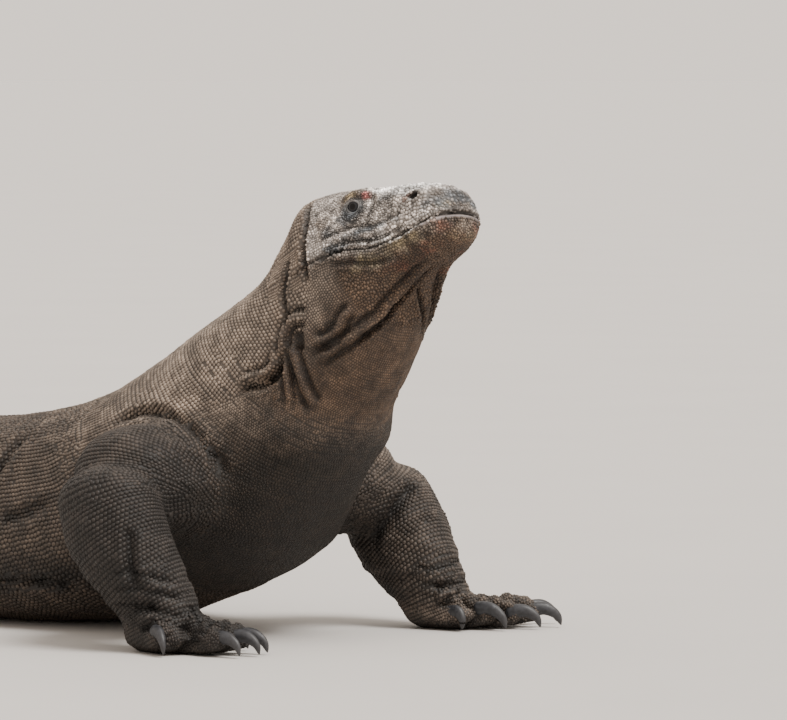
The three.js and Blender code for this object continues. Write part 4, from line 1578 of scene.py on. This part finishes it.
def scale_piece(name, skin_values, coat, rows, roots, material):
    """One piece of the coat: a low dome for each scale, as one mesh with its map and markings."""
    rng = np.random.default_rng(len(rows))
    points, flat = dome_places(name, coat, rows, rng)
    mesh, loops = mesh_of_domes(name, points)
    low, high = roots.min(0), roots.max(0)
    roots = 0.01 + 0.98 * (roots - low) / np.maximum(high - low, 1e-6)
    around = roots[:, None] + 0.0015 * flat[None]
    uv = mesh.uv_layers.new(name="OFBake")
    uv.data.foreach_set("uv", around.reshape(-1, 2)[loops].astype(np.float32).ravel())
    set_numbers(mesh, "tone", np.repeat(rng.uniform(0, 1, len(rows)), DOME_POINTS))
    # Painted shade, dark at each scale's foot.
    set_numbers(mesh, "rise", np.tile(DOME_PAINTED_SHADE, len(rows)))
    corner = coat.corner[rows[:, 3].astype(int)]
    for key, values in skin_values.items():
        set_numbers(mesh, key, np.repeat(values[corner], DOME_POINTS, axis=0))
    ob = bpy.data.objects.new(name, mesh)
    bpy.context.scene.collection.objects.link(ob)
    mesh.materials.append(material)
    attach(ob, "root")


class KOMODO_OT_scales(bpy.types.Operator):
    """Lay the scales in rows round the body and legs, and scattered over head and feet"""

    bl_idname = "komodo.scales"
    bl_label = "Scales"

    def execute(self, context):
        random.seed(context.scene.komodo_scales.seed)
        mesh = bpy.data.objects["komodo_skin"].data
        coat = Coat(mesh)
        coat.lip_rows()
        body = body_rows()
        chest = int(np.searchsorted(body[3], 0.24))
        front, rest = tuple(row[:chest] for row in body), tuple(row[chest:] for row in body)
        coat.rings(front, ("neck", "chest"), 4.8 * MM, 0.5, coat.shield)
        coat.rings(front, ("neck", "chest"), 3.5 * MM, 0.0, ~coat.shield)
        coat.rings(rest, ("neck", "chest", "trunk"), 6.2 * MM, 0.0)
        coat.rings(tail_rows(), ("tail",), 6.4 * MM)
        for name in sorted(LEG_LINES, key=lambda name: "_upper" in name):
            coat.rings(leg_rows(name), (name, name.rsplit("_", 1)[0]), 4.1 * MM)
        coat.fill(mesh, 5.0)
        coat.fill(mesh, 3.0, 0.62)
        rows = fitted_to_neighbours(np.array(coat.rows))
        keys = ("marks_a", "marks_b", "marks_c", "hollow_shade", "warm", "cool", "rim", "lid")
        values = {key: get_numbers(mesh, key) for key in keys}
        groups = np.array([coat_group(part) for part in FLESH])[coat.face_part[rows[:, 3].astype(int)]]
        material = hide_material("dragon_scales", 0.2)
        for group in sorted(set(groups)):
            members = rows[groups == group]
            roots = unwrapped(group, members[:, :3])
            order = np.argsort(roots[:, 0], kind="stable")
            parts = max(1, math.ceil(len(members) / MOST_IN_A_PIECE))
            for number, chosen in enumerate(np.array_split(order, parts)):
                name = group if parts == 1 else f"{group}_{number + 1}"
                scale_piece(name, values, coat, members[chosen], roots[chosen], material)
        return {"FINISHED"}


# ---- Eyes and claws ----
# Half the claws' width and depth, how far their roots reach into the toes, and how high they arch.
CLAW_WIDE = 5.4 * MM
CLAW_DEEP = 7.2 * MM
CLAW_ROOT = 8 * MM
CLAW_ARCH = ((0.10, 2.5), (0.40, 7.5), (0.72, 6.5))


class KOMODO_OT_eyes(bpy.types.Operator):
    """Make the eyeballs, with iris, pupil and a slightly raised cornea"""

    bl_idname = "komodo.eyes"
    bl_label = "Eyes"

    def execute(self, context):
        for name, side in (("eye_right", -1), ("eye_left", 1)):
            centre, looks, _, _ = eye_frame(side)
            bpy.ops.object.select_all(action="DESELECT")
            bpy.ops.mesh.primitive_uv_sphere_add(segments=64, ring_count=48, radius=EYE_RADIUS)
            ball = context.active_object
            ball.name = ball.data.name = "ball_" + name
            turned = Vector(looks).to_track_quat("Z", "Y").to_matrix().to_4x4()
            ball.data.transform(Matrix.Translation(Vector(centre)) @ turned)
            points = points_of(ball.data)
            gap, height = across_eye(points, side)
            bulge = np.exp(-((gap / CORNEA_WIDTH) ** 4)) * (height > 0) * CORNEA_RISE
            put_points(ball.data, points + looks * bulge[:, None])
            set_numbers(ball.data, "from_axis", np.where(height > 0, gap, EYE_RADIUS) / EYE_RADIUS)
            bpy.ops.object.shade_smooth()
            ball.data.materials.append(eye_material())
            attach(ball, "root")
            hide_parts(name)
        return {"FINISHED"}


def claw_shape(name):
    """Bends a ball into a curved claw along the path of the CAD claw."""
    cad = points_of(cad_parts[name].data)
    tip = cad[cad[:, 2] < cad[:, 2].min() + 2.5 * MM].mean(0)
    far = np.linalg.norm(cad - tip, axis=1)
    base = cad[far > 0.86 * far.max()].mean(0)
    way = unit((tip - base) * (1, 1, 0))
    path = [base - way * CLAW_ROOT + (0, 0, -1.5 * MM)]
    path += [base + (tip - base) * share + (0, 0, rise * MM) for share, rise in CLAW_ARCH]
    path += [tip - way * 5.0 * MM + (0, 0, 1.0 * MM)]
    line = smooth_line(path, 1.0 * MM)
    bpy.ops.object.select_all(action="DESELECT")
    bpy.ops.mesh.primitive_uv_sphere_add(segments=20, ring_count=26, radius=1.0, location=(0, 0, 0))
    claw = bpy.context.active_object
    claw.name = claw.data.name = "nail_" + name
    ball = points_of(claw.data)
    s = (1 - ball[:, 2]) / 2
    turn = np.arctan2(ball[:, 1], ball[:, 0])
    at = s * (len(line) - 1)

    def along(values):
        return np.stack([np.interp(at, np.arange(len(line)), values[:, i]) for i in range(3)], axis=1)

    middle, ways = along(line), along(unit(np.gradient(line, axis=0)))
    side = unit(np.cross(ways, (0, 0, 1.0)))
    up = np.cross(side, ways)
    taper = (1 - s**2.3) ** 0.68 * (1 - np.exp(-s * 30))
    wide = CLAW_WIDE * taper * (1 - 0.18 * np.abs(np.sin(turn)) * (np.sin(turn) < 0))
    deep = CLAW_DEEP * taper
    points = middle + side * (wide * np.cos(turn))[:, None] + up * (deep * np.sin(turn))[:, None]
    points[:, 2] = np.maximum(points[:, 2], 0.0)
    put_points(claw.data, points)
    set_numbers(claw.data, "along", s)
    bpy.ops.object.mode_set(mode="EDIT")
    bpy.ops.mesh.select_all(action="SELECT")
    bpy.ops.mesh.normals_make_consistent(inside=False)
    bpy.ops.object.mode_set(mode="OBJECT")
    bpy.ops.object.shade_smooth()
    return claw


class KOMODO_OT_claws(bpy.types.Operator):
    """Make the twenty claws"""

    bl_idname = "komodo.claws"
    bl_label = "Claws"

    def execute(self, context):
        material = claw_material()
        for name in CLAWS:
            claw = claw_shape(name)
            claw.data.materials.append(material)
            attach(claw, "root")
            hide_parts(name)
        return {"FINISHED"}


# ---- Materials ----
# Colours of the eye from its axis outwards, over its radius: pupil, iris, its dark edge and the white.
IRIS = (
    (0.0, (0.0005, 0.0005, 0.0005)),
    (0.25, (0.0005, 0.0005, 0.0005)),
    (0.28, (0.013, 0.011, 0.009)),
    (0.32, (0.014, 0.015, 0.017)),
    (0.41, (0.012, 0.013, 0.016)),
    (0.47, (0.002, 0.002, 0.002)),
    (0.66, (0.006, 0.005, 0.005)),
)
WORN_HORN = (0.035, 0.033, 0.034)


def add_node(tree, kind, inputs=(), **values):
    """A node with these settings, and its inputs set or joined."""
    node = tree.nodes.new(kind)
    for key, value in values.items():
        setattr(node, key, value)
    for key, value in dict(inputs).items():
        if isinstance(value, bpy.types.NodeSocket):
            tree.links.new(value, node.inputs[key])
        else:
            node.inputs[key].default_value = value
    return node


def reckon(tree, operation, *inputs, clamp=False):
    """A Math node's output."""
    node = add_node(tree, "ShaderNodeMath", enumerate(inputs), operation=operation, use_clamp=clamp)
    return node.outputs[0]


def blend_colours(tree, factor, first, second, kind="MIX"):
    """A colour mix's output."""
    node = add_node(tree, "ShaderNodeMix", data_type="RGBA", blend_type=kind)
    for index, value in ((0, factor), (6, first), (7, second)):
        if isinstance(value, bpy.types.NodeSocket):
            tree.links.new(value, node.inputs[index])
        elif index == 0:
            node.inputs[0].default_value = value
        else:
            node.inputs[index].default_value = (*value, 1)
    return node.outputs[2]


def noise_value(tree, place, scale, detail=2.0):
    """Soft noise at a place, 0 to 1."""
    inputs = {"Vector": place, "Scale": scale, "Detail": detail}
    return add_node(tree, "ShaderNodeTexNoise", inputs).outputs[0]


def widened(tree, value, low, high, to_low=0.0, to_high=1.0):
    """A value taken from one range to another."""
    inputs = {"Value": value, "From Min": low, "From Max": high, "To Min": to_low, "To Max": to_high}
    return add_node(tree, "ShaderNodeMapRange", inputs, clamp=True).outputs[0]


def stored(tree, name):
    """A number that set_numbers stored on the mesh."""
    return add_node(tree, "ShaderNodeAttribute", attribute_name=name).outputs["Fac"]


def object_place(tree):
    """Places on the piece, in metres."""
    return add_node(tree, "ShaderNodeTexCoord").outputs["Object"]


def new_material(name):
    """A material with its node tree and its shader."""
    material = bpy.data.materials.new(name)
    material.use_nodes = True
    return material, material.node_tree, material.node_tree.nodes["Principled BSDF"]


def bumped(tree, shader, height, strength, distance):
    """Gives the shader a fine relief, of a distance in metres."""
    lump = add_node(tree, "ShaderNodeBump", {"Height": height, "Strength": strength, "Distance": distance})
    tree.links.new(lump.outputs["Normal"], shader.inputs["Normal"])


def hide_colours():
    """The node group that gives skin and scales the same markings."""
    if "hide_colours" in bpy.data.node_groups:
        return bpy.data.node_groups["hide_colours"]
    colours = bpy.context.scene.komodo_colours
    tree = bpy.data.node_groups.new("hide_colours", "ShaderNodeTree")
    tree.interface.new_socket("Colour", in_out="OUTPUT", socket_type="NodeSocketColor")
    tree.interface.new_socket("Sheen", in_out="OUTPUT", socket_type="NodeSocketFloat")
    place = object_place(tree)
    marks = []
    for name in ("marks_a", "marks_b", "marks_c"):
        stored_colour = add_node(tree, "ShaderNodeAttribute", attribute_name=name).outputs["Color"]
        marks += add_node(tree, "ShaderNodeSeparateColor", {"Color": stored_colour}).outputs[:3]
    grey, tan, slate, under, throat, olive, rust, pale, pink = marks
    warm, cool, lid, rim = (stored(tree, name) for name in ("warm", "cool", "lid", "rim"))
    ragged = widened(tree, noise_value(tree, place, 95.0), 0.3, 0.7, -0.28, 0.28)

    def times(*values):
        """Values multiplied with each other."""
        return functools.reduce(lambda a, b: reckon(tree, "MULTIPLY", a, b), values)

    def frayed(mask, amount=1.0):
        """A mask with a ragged edge."""
        moved = reckon(tree, "MULTIPLY_ADD", ragged, amount, mask)
        return times(widened(tree, moved, 0.15, 0.85), widened(tree, mask, 0.0, 0.2))

    warm_tan = blend_colours(tree, widened(tree, warm, 0.9, 1.4), tuple(colours.tan), tuple(colours.brow))
    around_eye = tuple(c * 0.5 for c in colours.cool)
    colour = tuple(colours.brown)
    for mask, tint_there in (
        # The tan mask also carries the painted light on the legs.
        (frayed(tan, 0.6), colours.tan),
        (frayed(throat), colours.throat),
        (frayed(slate, 0.5), colours.slate),
        # Painted shade underneath.
        (frayed(under, 0.5), colours.dark),
        (frayed(grey), colours.grey),
        (frayed(olive, 1.3), colours.olive),
        (frayed(rust, 1.3), colours.rust),
        (frayed(warm, 1.2), warm_tan),
        (frayed(cool, 1.3), colours.cool),
        (times(lid, 0.8), around_eye),
        # Pale plates, and the painted highlight on top of the snout.
        (frayed(pale, 0.9), colours.pale),
        (widened(tree, rim, 0.2, 0.6), colours.lip),
        (frayed(pink, 0.4), colours.pink),
    ):
        if not isinstance(tint_there, bpy.types.NodeSocket):
            tint_there = tuple(tint_there)
        colour = blend_colours(tree, mask, colour, tint_there)

    # Each scale's own lightness varies more on the head than on the body; the head's brightest scales are
    # painted highlights.
    tone = stored(tree, "tone")
    calm = widened(tree, tone, 0.0, 1.0, 0.70, 1.30)
    lively_with_glints = widened(tree, reckon(tree, "POWER", tone, 1.3), 0.0, 1.0, 0.50, 1.76)
    share = reckon(tree, "ADD", grey, 0.0, clamp=True)
    calm_part = times(calm, reckon(tree, "SUBTRACT", 1.0, share))
    light = reckon(tree, "MULTIPLY_ADD", lively_with_glints, share, calm_part)
    blots = widened(tree, noise_value(tree, place, 58.0, 3.0), 0.34, 0.66, 0.66, 1.34)
    flecks = widened(tree, noise_value(tree, place, 125.0), 0.34, 0.66, 0.48, 1.52)
    flecks = reckon(tree, "MULTIPLY_ADD", reckon(tree, "SUBTRACT", flecks, 1.0), share, 1.0)
    clouds = widened(tree, noise_value(tree, place, 26.0, 3.0), 0.3, 0.7, 0.78, 1.22)
    speckle = widened(tree, noise_value(tree, place, 420.0), 0.3, 0.7, 0.84, 1.16)

    # Painted shade: darker between the scales and in the hollows of folds, mouth slit, nostrils, toe clefts
    # and lids.
    # gaps is the painted shade at each scale's foot and on the skin between the scales.
    low = widened(tree, reckon(tree, "ADD", grey, throat, clamp=True), 0.0, 1.0, 0.26, 0.36)
    part = widened(tree, stored(tree, "rise"), 0.0, 0.9)
    gaps = reckon(tree, "MULTIPLY_ADD", part, reckon(tree, "SUBTRACT", 1.0, low), low)
    hollows = widened(tree, stored(tree, "hollow_shade"), 0.0, 1.3, 1.0, 0.06)
    light = times(light, blots, flecks, clouds, speckle, gaps, hollows)
    channels = {"Red": light, "Green": light, "Blue": light}
    shade = add_node(tree, "ShaderNodeCombineColor", channels).outputs[0]
    out = add_node(tree, "NodeGroupOutput")
    tree.links.new(blend_colours(tree, 1.0, colour, shade, "MULTIPLY"), out.inputs["Colour"])
    tree.links.new(share, out.inputs["Sheen"])
    return tree


def hide_material(name, bump):
    """Dry reptile hide."""
    material, tree, shader = new_material(name)
    group = add_node(tree, "ShaderNodeGroup", node_tree=hide_colours())
    tree.links.new(group.outputs["Colour"], shader.inputs["Base Color"])
    place = object_place(tree)
    rough = widened(tree, noise_value(tree, place, 300.0), 0.3, 0.7, 0.54, 0.70)
    rough = reckon(tree, "MULTIPLY_ADD", group.outputs["Sheen"], -0.16, rough)
    tree.links.new(rough, shader.inputs["Roughness"])
    bumped(tree, shader, noise_value(tree, place, 1100.0, 3.0), bump, 0.0004)
    shader.inputs["Specular IOR Level"].default_value = 0.38
    return material


def ramp(tree, factor, stops):
    """A colour ramp's output."""
    node = add_node(tree, "ShaderNodeValToRGB", {"Fac": factor})
    elements = node.color_ramp.elements
    while len(elements) < len(stops):
        elements.new(1.0)
    for element, (at, colour) in zip(elements, stops):
        element.position = at
        element.color = (*colour, 1)
    return node.outputs["Color"]


def eye_material():
    """Wet eye with a round pupil and a dark grey iris."""
    if "dragon_eye" in bpy.data.materials:
        return bpy.data.materials["dragon_eye"]
    material, tree, shader = new_material("dragon_eye")
    place = object_place(tree)
    streaks = widened(tree, noise_value(tree, place, 900.0, 3.0), 0.3, 0.7, -0.02, 0.02)
    moved = reckon(tree, "ADD", stored(tree, "from_axis"), streaks)
    tree.links.new(ramp(tree, moved, IRIS), shader.inputs["Base Color"])
    rough = widened(tree, noise_value(tree, place, 500.0), 0.3, 0.7, 0.10, 0.16)
    tree.links.new(rough, shader.inputs["Roughness"])
    shader.inputs["Specular IOR Level"].default_value = 0.1
    shader.inputs["Coat Weight"].default_value = 0.25
    shader.inputs["Coat Roughness"].default_value = 0.03
    return material


def claw_material():
    """Dark horn with streaks along its length and a worn, paler tip."""
    material, tree, shader = new_material("dragon_claw")
    colour = tuple(bpy.context.scene.komodo_colours.claw)
    dark, light = tuple(c * 0.6 for c in colour), tuple(c * 1.5 for c in colour)
    place = object_place(tree)
    streaks = noise_value(tree, place, 240.0, 4.0)
    fine = noise_value(tree, place, 900.0)
    tip = widened(tree, stored(tree, "along"), 0.45, 1.0)
    worn = reckon(tree, "MULTIPLY", tip, widened(tree, fine, 0.35, 0.65, 0.3, 1.0))
    base = blend_colours(tree, widened(tree, streaks, 0.35, 0.65), dark, light)
    base = blend_colours(tree, worn, base, WORN_HORN)
    tree.links.new(base, shader.inputs["Base Color"])
    tree.links.new(widened(tree, fine, 0.3, 0.7, 0.42, 0.62), shader.inputs["Roughness"])
    bumped(tree, shader, streaks, 0.35, 0.0006)
    return material


def floor_material():
    """Plain pale floor with a faint mottle."""
    material, tree, shader = new_material("studio_floor")
    colour = tuple(bpy.context.scene.komodo_colours.floor)
    mottle = widened(tree, noise_value(tree, object_place(tree), 3.0, 3.0), 0.3, 0.7)
    mixed = blend_colours(tree, mottle, tuple(c * 0.97 for c in colour), colour)
    tree.links.new(mixed, shader.inputs["Base Color"])
    shader.inputs["Roughness"].default_value = 0.85
    return material


# ---- Stage ----
SKY_COLOUR = (1.0, 0.90, 0.80, 1)
SKY_STRENGTH = 1.3
SUN_STRENGTH = 4.6
TOWARDS_SUN = (0.51, 0.0, 0.86)
SENSOR_WIDTH = 36.0
CAMERA_AT = (5.2231, -4.1594, 0.565)
CAMERA_DOWN = 2.738  # degrees below level
CAMERA_TURN = 45


class KOMODO_OT_stage(bpy.types.Operator):
    """Lay the floor and set the lights and the camera"""

    bl_idname = "komodo.stage"
    bl_label = "Stage"

    def execute(self, context):
        bpy.ops.object.select_all(action="DESELECT")
        bpy.ops.mesh.primitive_plane_add(size=600, location=(0, 0, 0))
        floor = context.active_object
        floor.name = floor.data.name = "studio_floor"
        floor.data.materials.append(floor_material())

        world = bpy.data.worlds.new("studio_world")
        world.use_nodes = True
        background = world.node_tree.nodes["Background"]
        background.inputs["Color"].default_value = SKY_COLOUR
        background.inputs["Strength"].default_value = SKY_STRENGTH
        context.scene.world = world

        sun = bpy.data.lights.new("soft_sun", "SUN")
        sun.energy = SUN_STRENGTH
        sun.angle = math.radians(28)
        sun.color = (1.0, 0.97, 0.93)
        lamp = bpy.data.objects.new("soft_sun", sun)
        lamp.rotation_euler = Vector(TOWARDS_SUN).to_track_quat("Z", "Y").to_euler()
        context.scene.collection.objects.link(lamp)

        data = bpy.data.cameras.new("studio_camera")
        data.sensor_width = SENSOR_WIDTH
        data.lens = SENSOR_WIDTH * 6000 / 787  # so that 1 mm at 6 m is 1 pixel of a picture 787 wide
        data.clip_start, data.clip_end = 0.5, 1000.0
        camera = bpy.data.objects.new("studio_camera", data)
        camera.location = CAMERA_AT
        camera.rotation_euler = (math.radians(90 - CAMERA_DOWN), 0, math.radians(CAMERA_TURN))
        context.scene.collection.objects.link(camera)
        context.scene.camera = camera
        return {"FINISHED"}


class KOMODO_PT_panel(bpy.types.Panel):
    """Shows the dragon's settings and the buttons that make its parts"""

    bl_idname = "KOMODO_PT_panel"
    bl_label = "Komodo Dragon"
    bl_space_type = "VIEW_3D"
    bl_region_type = "UI"
    bl_category = "Komodo Dragon"

    def draw(self, context):
        layout = self.layout
        scene = context.scene
        for settings in (scene.komodo_hide, scene.komodo_scales, scene.komodo_colours):
            for key in settings.bl_rna.properties.keys():
                if key not in ("rna_type", "name"):
                    layout.prop(settings, key)
        for operator in OPERATORS:
            layout.operator(operator.bl_idname)


SETTINGS = (HideSettings, ScaleSettings, ColourSettings)
OPERATORS = (KOMODO_OT_stage, KOMODO_OT_skin, KOMODO_OT_scales, KOMODO_OT_eyes, KOMODO_OT_claws)


def register():
    for cls in SETTINGS + OPERATORS + (KOMODO_PT_panel,):
        bpy.utils.register_class(cls)
    bpy.types.Scene.komodo_hide = PointerProperty(type=HideSettings)
    bpy.types.Scene.komodo_scales = PointerProperty(type=ScaleSettings)
    bpy.types.Scene.komodo_colours = PointerProperty(type=ColourSettings)


def unregister():
    for name in ("komodo_hide", "komodo_scales", "komodo_colours"):
        delattr(bpy.types.Scene, name)
    for cls in reversed(SETTINGS + OPERATORS + (KOMODO_PT_panel,)):
        bpy.utils.unregister_class(cls)


def main():
    register()
    bpy.ops.komodo.stage()
    bpy.ops.komodo.skin()
    bpy.ops.komodo.scales()
    bpy.ops.komodo.eyes()
    bpy.ops.komodo.claws()
    bpy.context.view_layer.update()


if __name__ == "__main__":
    main()
